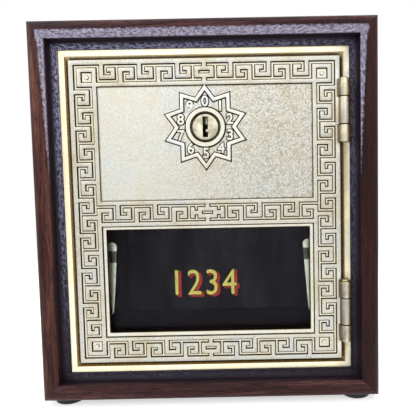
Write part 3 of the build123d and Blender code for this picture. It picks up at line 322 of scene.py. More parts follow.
@dataclass(frozen=True)
class Walnut(Finish):
    """Dark-stained walnut under satin varnish.

    The rounded edge is red-brown with open pores. The hollow beside the brass is nearly black, a
    dark stain deepened with painted shade, and carries a painted bluish, rough sheen next to the
    metal, strongest high up and on the left. The inner part of the ridge carries a grey bloom, a
    painted highlight that narrows down the case. The back panel is dusty inside, with a painted
    reflection that lightens it towards the top.
    """

    grain: Grain = Grain.UPRIGHT
    dark: str = "#2D1511"
    middle: str = "#4B2823"
    light: str = "#764A3C"
    # The hollow colour is a dark stain that also stands in for shade; the sheen is painted light;
    # the bloom is a painted highlight; the dust colour also paints a reflection.
    hollow: str = "#1E1621"
    sheen: str = "#B8B8DE"
    bloom: str = "#BCBAD4"
    dust: str = "#97929F"
    pore_mm: float = 0.35       # width of a pore; its length is about ten times that
    roughness: float = 0.38
    ridge_in: float = 4.0       # the ridge's inner arris, in mm outside the flange
    ridge_out: float = 8.1      # where the bloom, a painted highlight, ends at the top, short of the round
    bloom_width: float = 2.9    # how far the painted highlight reaches out just below the top

    def shade(self, tree: bpy.types.NodeTree, place: bpy.types.NodeSocket) -> bpy.types.Node:
        """Add the nodes of this finish.

        Args:
            tree: the material's node tree.
            place: object coordinates, in metres.

        Returns:
            The shader node.
        """
        turn = [math.radians(angle) for angle in self.grain.value]
        # Three places, drawn out along the grain: for streaks, for pores and for what rubs off.
        along = add_node(tree, "ShaderNodeMapping",
                         {"Vector": place, "Rotation": turn}).outputs[0]
        streak_place = add_node(tree, "ShaderNodeMapping",
                                {"Vector": along, "Scale": (1.0, 1.0, 0.07)}).outputs[0]
        pore_place = add_node(tree, "ShaderNodeMapping",
                              {"Vector": along, "Scale": (1.0, 1.0, 0.12)}).outputs[0]
        rub_place = add_node(tree, "ShaderNodeMapping",
                             {"Vector": along, "Scale": (1.0, 1.0, 0.45)}).outputs[0]
        streaks = add_node(tree, "ShaderNodeTexNoise",
                           {"Vector": streak_place, "Scale": 1 / (3.2 * MM), "Detail": 6.0,
                            "Roughness": 0.6, "Distortion": 0.6}).outputs["Fac"]
        pores = add_node(tree, "ShaderNodeTexNoise",
                         {"Vector": pore_place, "Scale": 0.5 / (self.pore_mm * MM), "Detail": 3.0,
                          "Roughness": 0.7}).outputs["Fac"]
        wood = add_node(tree, "ShaderNodeValToRGB", {0: streaks},
                        stops=[(0.32, self.dark), (0.7, self.light), (0.5, self.middle)])
        holes = add_node(tree, "ShaderNodeMapRange",
                         {"Value": pores, "From Min": 0.36, "From Max": 0.5, "To Min": 0.8,
                          "To Max": 0.0}).outputs[0]
        mixed = add_node(tree, "ShaderNodeMix", {0: holes, 6: wood.outputs[0],
                                                 7: colour("#120808")}, data_type="RGBA")
        for share, tint in self.layers(tree, place, rub_place):
            mixed = add_node(tree, "ShaderNodeMix", {0: share, 6: mixed.outputs[2],
                                                     7: colour(tint)}, data_type="RGBA")
        rough = add_node(tree, "ShaderNodeMapRange",
                         {"Value": pores, "From Min": 0.35, "From Max": 0.65,
                          "To Min": self.roughness + 0.2, "To Max": self.roughness - 0.06})
        relief = add_node(tree, "ShaderNodeBump",
                          {"Height": pores, "Strength": 0.6, "Distance": 0.12 * MM})
        return add_node(tree, "ShaderNodeBsdfPrincipled",
                        {"Base Color": mixed.outputs[2], "Roughness": rough.outputs[0],
                         "IOR": 1.45, "Specular IOR Level": 0.18, "Normal": relief.outputs[0]})

    def layers(self, tree: bpy.types.NodeTree, place: bpy.types.NodeSocket,
               along: bpy.types.NodeSocket) -> list[tuple[bpy.types.NodeSocket, str]]:
        """Add the nodes of the hollow's painted shade, its painted sheen, the bloom on the ridge (a
        painted highlight) and the dust with its painted reflection.

        Args:
            tree: the material's node tree.
            place: object coordinates, in metres.
            along: the same place, drawn out along the grain.

        Returns:
            Each layer's share, 0 to 1, and its colour.
        """
        space = add_node(tree, "ShaderNodeSeparateXYZ", {0: place}).outputs
        reach, dust = (add_node(tree, "ShaderNodeAttribute", attribute_name=name).outputs["Fac"]
                       for name in ("reach", "dust"))
        speckle = add_node(tree, "ShaderNodeTexNoise",
                           {"Vector": along, "Scale": 1 / (0.9 * MM), "Detail": 4.0,
                            "Roughness": 0.8}).outputs["Fac"]
        wiped = add_node(tree, "ShaderNodeMapping", {"Vector": place, "Scale": (1.0, 1.0, 0.4)})
        cloud = add_node(tree, "ShaderNodeTexNoise",
                         {"Vector": wiped.outputs[0], "Scale": 1 / (22 * MM),
                          "Detail": 3.0}).outputs["Fac"]
        rise = self.ridge_out - self.ridge_in - self.bloom_width
        # The reach is in mm outside the flange; X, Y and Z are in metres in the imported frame.
        shares: dict[str, bpy.types.NodeSocket] = {"dust": dust}
        # Masks of painted shade in the hollow, of a painted sheen by the brass that grows higher up
        # and to the left, of the painted highlight on the ridge and of the dust with its painted
        # reflection.
        for name, value, low, high, least, most in (
                ("in the hollow", reach, self.ridge_in + 0.3, self.ridge_in + 0.05, 0.0, 0.95),
                ("below the front", space["Y"], -0.0454, -0.0464, 0.0, 1.0),
                ("by the brass", reach, 3.3, 1.6, 0.0, 1.0),
                ("higher up", space["Z"], 0.03, 0.15, 0.12, 1.0),
                ("to the left", space["X"], -0.075, 0.075, 1.0, 0.25),
                ("hazy", speckle, 0.45, 0.6, 0.05, 1.0),
                ("bloom widens", space["Z"], 0.105, 0.176, self.ridge_in - 0.5,
                 self.ridge_in + self.bloom_width),
                ("over the top", space["Z"], 0.176, 0.182, 0.0, rise),
                ("ragged", speckle, 0.3, 0.7, -0.5, 0.5),
                ("on the ridge", reach, self.ridge_in - 0.35, self.ridge_in - 0.1, 0.0, 1.0),
                ("on the front", space["Y"], -0.0540, -0.0548, 0.0, 1.0),
                # The painted highlight is broken into specks here.
                ("rubbed", speckle, 0.42, 0.6, 0.18, 0.85),
                ("inside the case", space["Y"], 0.0498, 0.0492, 0.0, 1.0),
                ("fine dust", speckle, 0.3, 0.7, 0.6, 1.0),
                ("wiped", cloud, 0.38, 0.62, 0.5, 1.0)):
            shares[name] = add_node(tree, "ShaderNodeMapRange",
                                    {"Value": value, "From Min": low, "From Max": high,
                                     "To Min": least, "To Max": most}).outputs[0]
        # The bloom, a painted highlight, reaches out to a ragged limit, and the sum is above 0
        # within it.
        limit = shares["bloom widens"]
        for value, way in ((shares["over the top"], "ADD"), (shares["ragged"], "ADD"),
                           (reach, "SUBTRACT")):
            limit = add_node(tree, "ShaderNodeMath", {0: limit, 1: value}, operation=way).outputs[0]
        shares["bloom"] = add_node(tree, "ShaderNodeMapRange",
                                   {"Value": limit, "From Min": -0.3, "From Max": 0.5}).outputs[0]
        # A layer shows where all that it depends on comes together.
        layers = []
        for tint, names in (
                (self.hollow, ("in the hollow", "below the front")),
                (self.sheen, ("in the hollow", "below the front", "by the brass", "higher up",
                              "to the left", "hazy")),
                (self.bloom, ("bloom", "on the ridge", "on the front", "rubbed")),
                (self.dust, ("dust", "inside the case", "fine dust", "wiped"))):
            share = shares[names[0]]
            for name in names[1:]:
                share = add_node(tree, "ShaderNodeMath", {0: share, 1: shares[name]},
                                 operation="MULTIPLY").outputs[0]
            layers.append((share, tint))
        return layers


@dataclass(frozen=True)
class Rubber(Finish):
    """Moulded black rubber: matt, with a faint grey bloom that lifts it from pure black."""

    def shade(self, tree: bpy.types.NodeTree, place: bpy.types.NodeSocket) -> bpy.types.Node:
        """Add the nodes of this finish.

        Args:
            tree: the material's node tree.
            place: object coordinates, in metres.

        Returns:
            The shader node.
        """
        bloom = add_node(tree, "ShaderNodeTexNoise",
                         {"Vector": place, "Scale": 1 / (2 * MM), "Detail": 4.0}).outputs["Fac"]
        mixed = add_node(tree, "ShaderNodeValToRGB", {0: bloom},
                         stops=[(0.35, "#121113"), (0.7, "#232124")])
        grit = add_node(tree, "ShaderNodeBump",
                        {"Height": bloom, "Strength": 0.3, "Distance": 0.05 * MM})
        return add_node(tree, "ShaderNodeBsdfPrincipled",
                        {"Base Color": mixed.outputs[0], "Roughness": 0.7, "IOR": 1.5,
                         "Normal": grit.outputs[0]})


@dataclass(frozen=True)
class Pane(Finish):
    """Clear float glass: dark over the empty case, with a faint reflection of the room."""

    def shade(self, tree: bpy.types.NodeTree, place: bpy.types.NodeSocket) -> bpy.types.Node:
        """Add the nodes of this finish.

        Args:
            tree: the material's node tree.
            place: object coordinates, in metres.

        Returns:
            The shader node.
        """
        smears = add_node(tree, "ShaderNodeTexNoise",
                          {"Vector": place, "Scale": 1 / (14 * MM), "Detail": 3.0}).outputs["Fac"]
        rough = add_node(tree, "ShaderNodeMapRange",
                         {"Value": smears, "From Min": 0.45, "From Max": 0.8, "To Min": 0.0,
                          "To Max": 0.03})
        return add_node(tree, "ShaderNodeBsdfPrincipled",
                        {"Base Color": colour("#F2F5F4"), "Roughness": rough.outputs[0],
                         "IOR": 1.5, "Transmission Weight": 1.0,
                         "Specular Tint": colour("#5C5D68")})


@dataclass(frozen=True)
class Paint(Finish):
    """Sign painter's enamel or gold leaf on the back of the glass, laid a little unevenly."""

    tint: str = "#C9BE62"
    thin: str = "#A3903C"
    metallic: float = 0.0

    def shade(self, tree: bpy.types.NodeTree, place: bpy.types.NodeSocket) -> bpy.types.Node:
        """Add the nodes of this finish.

        Args:
            tree: the material's node tree.
            place: object coordinates, in metres.

        Returns:
            The shader node.
        """
        brush = add_node(tree, "ShaderNodeTexNoise",
                         {"Vector": place, "Scale": 1 / (1.2 * MM), "Detail": 3.0}).outputs["Fac"]
        patch = add_node(tree, "ShaderNodeMapRange",
                         {"Value": brush, "From Min": 0.4, "From Max": 0.7}).outputs[0]
        mixed = add_node(tree, "ShaderNodeMix", {0: patch, 6: colour(self.tint),
                                                 7: colour(self.thin)}, data_type="RGBA")
        return add_node(tree, "ShaderNodeBsdfPrincipled",
                        {"Base Color": mixed.outputs[2], "Roughness": 0.5, "IOR": 1.5,
                         "Metallic": self.metallic})


# Pale champagne on the raised lines, cooled by a painted reflection, with a brown line at the
# foot of each wall.
DOOR_BRASS = CastBrass("cast_brass_relief")
# The hammered ground: even cream, a little warmer in its creases, that lets the star stand out.
PANEL_BRASS = CastBrass("cast_brass_pebbled", raised="#D2D3CC", floor="#CCCABE", worn="#CEC8B5",
                        cold="#C8CDCE", warm_dirt="#7A6C50", speck=0.1)
# The rubbed flange: the brightest and yellowest brass, with a clearly sandy skin.
FRAME_BRASS = CastBrass("cast_brass_flange", raised="#FFF6D4", floor="#7F8484", worn="#F4EAC2",
                        cold="#F6F3E6", warm_dirt="#86693A", speck=0.15, bump=0.8)
# The knuckles: smoother from use and grey with grease; painted shade darkens their sides and
# blacks out the joints between them.
HINGE_BRASS = CastBrass("cast_brass_knuckle", raised="#E0DED2", floor="#7F8484", worn="#BDB294",
                        cold="#AEB4B4", warm_dirt="#8E7444", speck=0.3, roughness=0.36, bump=0.9)
# Drawn pins: warmer than the castings, with fine lines round them.
PIN_BRASS = TurnedMetal("drawn_brass_pin", tint="#C9BB8C", dull="#8F8052", lay=Lay.UPRIGHT)
# The lock: smooth turned brass gone pale, the plainest and brightest round form on the door.
LOCK_BRASS = TurnedMetal("turned_lock_brass", tint="#CFCAB4", dull="#97907A")
# Screws: yellower brass with dull spots, so that each head shows on the casting.
SCREW_BRASS = TurnedMetal("turned_screw_brass", tint="#C4AE6C", dull="#8E7A42")
# Spring strip: pale and almost white where light falls on it, behind the dark glass.
CLIP_BRASS = TurnedMetal("rolled_spring_brass", tint="#F6FAE8", dull="#E2E6CE", roughness=0.45,
                         lay=Lay.UPRIGHT)
# Zinc plate: a cool light grey that parts the bolt and the crank from the brass.
STEEL = TurnedMetal("zinc_plated_steel", tint="#B4B5B3", dull="#8E8F90", roughness=0.3,
                    lay=Lay.ACROSS)
# Spring wire: a darker grey steel with a fine drawn skin.
WIRE = TurnedMetal("drawn_spring_steel", tint="#AEB0B2", dull="#8C8E92", lay=Lay.UPRIGHT)
# Upright boards: red-brown, and the ridge's bloom, a painted highlight, runs down them.
UPRIGHT_WALNUT = Walnut("varnished_walnut_upright")
# Level boards: the same wood, a shade darker and with its grain lying down.
LEVEL_WALNUT = Walnut("varnished_walnut_level", grain=Grain.LEVEL, dark="#271411", middle="#402226",
                      light="#64403C")
# The right-hand board: a darker, redder copy of the upright walnut, painted shade for the side
# away from the key lamp.
SHADED_WALNUT = Walnut("varnished_walnut_shaded", dark="#180706", middle="#2D0F0E", light="#421B18")
# The back panel: plain, less varnished, and grey with dust where it looks into the case, with a
# painted reflection that lightens it towards the top.
PANEL_WALNUT = Walnut("varnished_walnut_panel", dark="#1A0D0B", middle="#2A1815",
                      light="#3E2620", roughness=0.5)
# Feet: matt black, so that they read as soft beside the varnish.
RUBBER = Rubber("moulded_black_rubber")
# The pane: almost black, because the case behind it is dark and empty.
GLASS = Pane("float_glass")
# Gold leaf: yellow metal seen through the pane, thinner and browner in patches.
GOLD_PAINT = Paint("gold_leaf", tint="#F2E27C", thin="#D2BC56", metallic=0.85)
# The shadow of the digits: a strong signal red that lies below and to the right of the gold.
RED_PAINT = Paint("red_enamel", tint="#F42A1A", thin="#C01A12")
# The outline: a black that cuts the gold clean from the red.
BLACK_PAINT = Paint("black_enamel", tint="#0D090A", thin="#171011")


# ---------------------------------------------------------------- meshes
def settle(bm: bmesh.types.BMesh, name: str, finish: Finish, body: Body,
           nodes: Iterable[str] = (), crease: float = CREASE) -> bpy.types.Object:
    """Turn a finished bmesh in door millimetres into a piece that rides on its body.

    Args:
        bm: the shape; it is freed.
        name: the piece's name.
        finish: its finish.
        body: the body that it rides on.
        nodes: the CAD nodes that it stands for.
        crease: the angle, in degrees, from which an edge away from broad flats stays sharp.

    Returns:
        The new object.
    """
    bm.normal_update()
    broad = {face for face in bm.faces if face.calc_area() > BROAD_AREA}
    for edge in bm.edges:
        limit = BROAD_CREASE if broad.intersection(edge.link_faces) else crease
        edge.smooth = edge.calc_face_angle(0.0) < math.radians(limit)
    for face in bm.faces:
        face.smooth = True
    bmesh.ops.transform(bm, verts=bm.verts,
                        matrix=Matrix.Scale(MM, 4) @ Matrix.Translation(DOOR_ORIGIN))
    mesh = bpy.data.meshes.new(name)
    bm.to_mesh(mesh)
    bm.free()
    mesh.materials.append(finish.material())
    piece = bpy.data.objects.new(name, mesh)
    bpy.context.scene.collection.objects.link(piece)
    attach(piece, body.value)
    for node in nodes:
        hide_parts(node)
    log.info("%s: %d faces on %s", name, len(mesh.polygons), body.value)
    return piece


def ramp(value: float, start: float, end: float) -> float:
    """Tell how far a value is on the way from start to end, kept within 0 and 1."""
    return min(max((value - start) / (end - start), 0.0), 1.0)


def turned_forward(bm: bmesh.types.BMesh) -> None:
    """Stand a shape that was drawn in X and Y upright, so that it faces forward."""
    bmesh.ops.rotate(bm, verts=bm.verts, cent=(0, 0, 0),
                     matrix=Matrix.Rotation(math.pi / 2, 3, "X"))


def sharp_edges(bm: bmesh.types.BMesh, angle: float) -> list[bmesh.types.BMEdge]:
    """List the edges whose two faces meet at more than an angle, in degrees."""
    return [edge for edge in bm.edges if edge.calc_face_angle(0.0) > math.radians(angle)]


def round_off(bm: bmesh.types.BMesh, edges: Iterable[bmesh.types.BMEdge], width: float,
              segments: int = 2, clamp: bool = False) -> None:
    """Bevel edges.

    Args:
        bm: the shape.
        edges: the edges.
        width: width of the bevel, in millimetres.
        segments: faces across the bevel.
        clamp: whether the bevel narrows where neighbours stand too close.
    """
    bmesh.ops.bevel(bm, geom=list(edges), offset=width, offset_type="OFFSET", segments=segments,
                    profile=0.5, affect="EDGES", clamp_overlap=clamp, material=-1)


def push(bm: bmesh.types.BMesh, faces: list[bmesh.types.BMFace],
         distance: float) -> set[bmesh.types.BMVert]:
    """Draw faces out along Y.

    Args:
        bm: the shape.
        faces: the faces.
        distance: how far back they go, in millimetres.

    Returns:
        The vertices that moved.
    """
    grown = bmesh.ops.extrude_face_region(bm, geom=faces)["geom"]
    moved = [item for item in grown if isinstance(item, bmesh.types.BMVert)]
    bmesh.ops.translate(bm, verts=moved, vec=(0, distance, 0))
    return set(moved)


def cut(bm: bmesh.types.BMesh, place: Triple, way: Triple) -> None:
    """Cut a shape's faces along a plane that goes through a place and faces a way."""
    bmesh.ops.bisect_plane(bm, geom=bm.verts[:] + bm.edges[:] + bm.faces[:], plane_co=place,
                           plane_no=way)


def cad_copy(node: str, soften: float = 0.0) -> bmesh.types.BMesh:
    """Copy a CAD node's mesh into door millimetres, merged, with its sharp edges softened.

    Args:
        node: the CAD node's name.
        soften: width of the bevel along sharp edges, in millimetres.

    Returns:
        The copy.
    """
    bm = bmesh.new()
    bm.from_mesh(FRAME_NODES[node].data)
    bm.verts.ensure_lookup_table()
    bmesh.ops.transform(bm, verts=bm.verts,
                        matrix=Matrix.Translation(-DOOR_ORIGIN) @ Matrix.Scale(1 / MM, 4))
    bmesh.ops.remove_doubles(bm, verts=bm.verts, dist=MERGE_MM)
    bmesh.ops.dissolve_limit(bm, verts=bm.verts, edges=bm.edges,
                             angle_limit=math.radians(FLAT_ANGLE))
    if soften:
        round_off(bm, sharp_edges(bm, 28), soften, clamp=True)
    return bm


def stain(bm: bmesh.types.BMesh, name: str, rule: Stain | float) -> None:
    """Write a vertex value: the most that any face round the vertex gives it.

    Args:
        bm: the shape.
        name: the attribute's name.
        rule: gives a value for a face's normal and a vertex's place, or is the value everywhere.
    """
    layer = bm.verts.layers.float.get(name) or bm.verts.layers.float.new(name)
    bm.normal_update()
    for vert in bm.verts:
        if callable(rule):
            values = [rule(face.normal, vert.co) for face in vert.link_faces]
            vert[layer] = max(values, default=0.0)
        else:
            vert[layer] = rule


def age(bm: bmesh.types.BMesh, dirt: Stain | float, depth: Stain | float) -> None:
    """Write the two vertex values that cast brass reads: its dirt and painted shade, and its depth.
    """
    stain(bm, "dirt", dirt)
    stain(bm, "depth", depth)


def spread(bm: bmesh.types.BMesh, name: str, reach: float) -> None:
    """Carry a vertex value on to its nearest neighbours, once.

    Args:
        bm: the shape.
        name: the attribute's name.
        reach: the longest edge that the value crosses, in millimetres.
    """
    layer = bm.verts.layers.float[name]
    found = {}
    for vert in bm.verts:
        near = [edge.other_vert(vert)[layer] for edge in vert.link_edges
                if edge.calc_length() < reach]
        found[vert] = max([vert[layer], *near])
    for vert, value in found.items():
        vert[layer] = value


def dress(finish: Finish, *nodes: str) -> None:
    """Give CAD nodes that are shown as they are a finish of their own.

    Args:
        finish: the finish.
        nodes: the CAD nodes' names.
    """
    for node in nodes:
        mesh = FRAME_NODES[node].data
        mesh.materials.clear()
        mesh.materials.append(finish.material())
        log.info("%s: dressed with %s", node, finish.name)


def lettering(text: str, height: float, depth: float, grow: float = 0.0,
              rounding: float = 0.0, spacing: float = 1.0) -> bmesh.types.BMesh:
    """Draw text that faces forward, centred on the origin, with its front at y = 0.

    Args:
        text: plain digits.
        height: height of a digit in millimetres.
        depth: thickness behind the front, in millimetres.
        grow: how far the outline stands out of the drawn one.
        rounding: rounding of the front edge.
        spacing: distance between digits against the font's own.

    Returns:
        The text as a bmesh.
    """
    curve = bpy.data.curves.new("lettering", "FONT")
    curve.body = text
    curve.size = height / DIGIT_SHARE
    curve.extrude = depth / 2 - rounding
    curve.offset = grow - rounding
    curve.bevel_depth = rounding
    curve.bevel_resolution = 1
    curve.resolution_u = 5
    curve.space_character = spacing
    drawn = bpy.data.objects.new("lettering", curve)
    bpy.context.scene.collection.objects.link(drawn)
    bpy.context.view_layer.update()
    mesh = bpy.data.meshes.new_from_object(drawn)
    bpy.data.objects.remove(drawn)
    bm = bmesh.new()
    bm.from_mesh(mesh)
    bpy.data.meshes.remove(mesh)
    bmesh.ops.remove_doubles(bm, verts=bm.verts, dist=0.001)
    turned_forward(bm)
    low = Vector(min(v.co[i] for v in bm.verts) for i in range(3))
    high = Vector(max(v.co[i] for v in bm.verts) for i in range(3))
    middle = (low + high) / 2
    bmesh.ops.translate(bm, verts=bm.verts, vec=(-middle.x, -low.y, -middle.z))
    return bm


def turned_ring(bm: bmesh.types.BMesh, profile: list[Pair], steps: int,
                centre: Vector) -> None:
    """Spin a closed profile about an axis that runs forward.

    Args:
        bm: where the ring is added.
        profile: radius and depth of each corner, in order round the section.
        steps: faces round the ring.
        centre: a point on the axis.
    """
    corners = [bm.verts.new(centre + Vector((radius, y, 0))) for radius, y in profile]
    edges = [bm.edges.new(pair) for pair in zip(corners, corners[1:] + corners[:1])]
    bmesh.ops.spin(bm, geom=corners + edges, cent=centre, axis=FRONT, dvec=(0, 0, 0),
                   angle=math.tau, steps=steps, use_merge=True, use_duplicate=False)
    bmesh.ops.recalc_face_normals(bm, faces=bm.faces)


def join(target: bmesh.types.BMesh, part: bmesh.types.BMesh,
         move: Vector | Triple = (0.0, 0.0, 0.0)) -> None:
    """Add a shape to another, moved if need be, and free it.

    Args:
        target: the shape that grows.
        part: the shape that is added.
        move: how far it is moved.
    """
    bmesh.ops.translate(part, verts=part.verts, vec=move)
    mesh = bpy.data.meshes.new("joined")
    part.to_mesh(mesh)
    part.free()
    target.from_mesh(mesh)
    bpy.data.meshes.remove(mesh)


def by_facing(normal: Vector, shares: Quad) -> float:
    """Pick a share by the way a wall faces.

    Args:
        normal: the wall's normal.
        shares: the shares for a wall that faces down, up, right and left.

    Returns:
        The share.
    """
    down, up, right, left = shares
    if abs(normal.z) > 0.5:
        return down if normal.z < 0 else up
    return right if normal.x > 0 else left


def knuckle_dirt(normal: Vector, place: Vector) -> float:
    """Painted shade on a hinge knuckle: black in the joints and brown down both sides, so that it
    looks round.

    Args:
        normal: the face's normal.
        place: the vertex's place; the shade is the same all along the knuckle.

    Returns:
        The painted shade, 0 to 1.
    """
    if abs(normal.z) > 0.5:
        return JOINT_SHADE
    if normal.x > 0:
        return KNUCKLE_RIGHT * ramp(normal.x, 0.2, 0.4)
    return KNUCKLE_LEFT * ramp(-normal.x, 0.5, 0.8)


def knuckle_depth(normal: Vector, place: Vector) -> float:
    """Greyness of a hinge knuckle: more on the lower hinge, and more down its left side as painted
    shade.
    """
    grey = UPPER_GREY if place.z > 0 else LOWER_GREY
    return grey + 0.4 * ramp(-normal.x, 0.1, 0.6)


# ---------------------------------------------------------------- door casting
@dataclass
class Meander:
    """The meander's grid: which cells of the door's face are raised."""

    columns: int = 69
    rows: int = 83
    width: float = 1.84         # of one cell
    height: float = 1.75        # of one cell
    border: int = 6             # columns or rows between the door's plain edge and its fields
    panel_rows: int = 32
    rail_rows: int = 7
    pitch: int = 5              # cells from one hook to the next
    rim: float = 2.1            # width of the door's plain edge

    @property
    def half_width(self) -> float:
        """Half the width of the grid."""
        return self.columns * self.width / 2

    @property
    def half_height(self) -> float:
        """Half the height of the grid."""
        return self.rows * self.height / 2

    @property
    def rail_top(self) -> int:
        """First row of the rail between panel and window."""
        return self.border + self.panel_rows

    def column_line(self, line: int) -> float:
        """Find an upright grid line; the outermost lines are the door's edges.

        Args:
            line: the line's number from the left, -1 for the door's edge.

        Returns:
            Its X.
        """
        if line in (-1, self.columns + 1):
            return math.copysign(self.half_width + self.rim, line)
        return line * self.width - self.half_width

    def row_line(self, line: float) -> float:
        """Find a level grid line; the outermost lines are the door's edges.

        Args:
            line: the line's number from the top, -1 for the door's edge.

        Returns:
            Its Z.
        """
        if line in (-1, self.rows + 1):
            return math.copysign(self.half_height + self.rim, -line)
        return self.half_height - line * self.height

    def cell(self, point: Vector) -> Cell:
        """Find the cell that holds a point.

        Args:
            point: a place on the door's face.

        Returns:
            The cell's column and row.
        """
        col = math.floor((point.x + self.half_width) / self.width)
        row = math.floor((self.half_height - point.z) / self.height)
        return min(max(col, -1), self.columns), min(max(row, -1), self.rows)

    def bar(self, start: Cell, end: Cell) -> set[Cell]:
        """List the cells of a block.

        Args:
            start: one corner of the block.
            end: the corner across from it, included as well.

        Returns:
            The block's cells.
        """
        cols = range(min(start[0], end[0]), max(start[0], end[0]) + 1)
        rows = range(min(start[1], end[1]), max(start[1], end[1]) + 1)
        return {(col, row) for col in cols for row in rows}

    def hook(self, base: int, rooted_low: bool) -> set[Cell]:
        """One hook as cells along and across a border of five lines.

        Args:
            base: where its stem stands along the border.
            rooted_low: whether the stem rises from the first line.

        Returns:
            The hook's cells.
        """
        near, far, turn = (0, 3, 1) if rooted_low else (4, 1, 3)
        tip = base + 3
        stem = self.bar((base, near), (base, far)) | self.bar((base, far), (tip, far))
        return stem | self.bar((tip, turn), (tip, far)) | self.bar((tip - 1, turn), (tip, turn))

    def hooks(self, start: int, count: int, first_low: bool) -> set[Cell]:
        """List the cells of a row of hooks that stand and hang by turns.

        Args:
            start: where the first hook's stem stands along the border.
            count: the number of hooks.
            first_low: whether the first stem rises from the first line.

        Returns:
            The hooks' cells.
        """
        found: set[Cell] = set()
        for index in range(count):
            found |= self.hook(start + self.pitch * index, (index % 2 == 0) == first_low)
        return found

    def centre_piece(self, first: int) -> set[Cell]:
        """List the cells of the square ring in the middle of a level run.

        Args:
            first: the row of the run's first line.

        Returns:
            The ring's cells.
        """
        middle = self.columns // 2
        ring = self.bar((middle - 2, first + 1), (middle + 2, first + 3))
        ring -= self.bar((middle - 1, first + 2), (middle + 1, first + 2))
        return ring | {(middle, first), (middle, first + 4)}

    def left_rail(self) -> set[Cell]:
        """List the cells of the left half of the rail between panel and window.

        Returns:
            The rail's cells.
        """
        first, start, middle = self.rail_top + 1, self.border - 1, self.columns // 2
        hooks = self.hooks(start, (middle - start) // self.pitch, False)
        found = {(along, across + first) for along, across in hooks}
        found |= self.bar((middle - 4, first + 1), (middle - 4, first + 3))
        return found | {(middle - 3, first + 2)} | self.centre_piece(first)

    def raised(self) -> set[Cell]:
        """Every raised cell, with the rims and the door's plain edge.

        Returns:
            The raised cells as columns and rows.
        """
        last_col, last_row, edge = self.columns - 1, self.rows - 1, self.border - 1
        start, middle = self.border + 1, self.columns // 2
        quarter = self.bar((1, 1), (5, 5)) - self.bar((2, 2), (4, 4))
        quarter |= self.hooks(start, (middle - start) // self.pitch, True) | self.centre_piece(0)
        found = quarter | {(col, last_row - row) for col, row in quarter}
        side = self.hooks(start, (self.rows - 2 * self.border) // self.pitch, True)
        found |= {(across, along) for along, across in side}
        for row in (edge, last_row - edge, self.rail_top, self.rail_top + self.rail_rows - 1):
            found |= self.bar((edge, row), (middle, row))
        found |= self.bar((edge, edge), (edge, last_row - edge))
        found -= {(edge, self.rail_top + 1)}
        found |= self.left_rail()
        found |= {(last_col - col, row) for col, row in found}
        whole = self.bar((-1, -1), (self.columns, self.rows))
        return found | (whole - self.bar((0, 0), (last_col, last_row)))


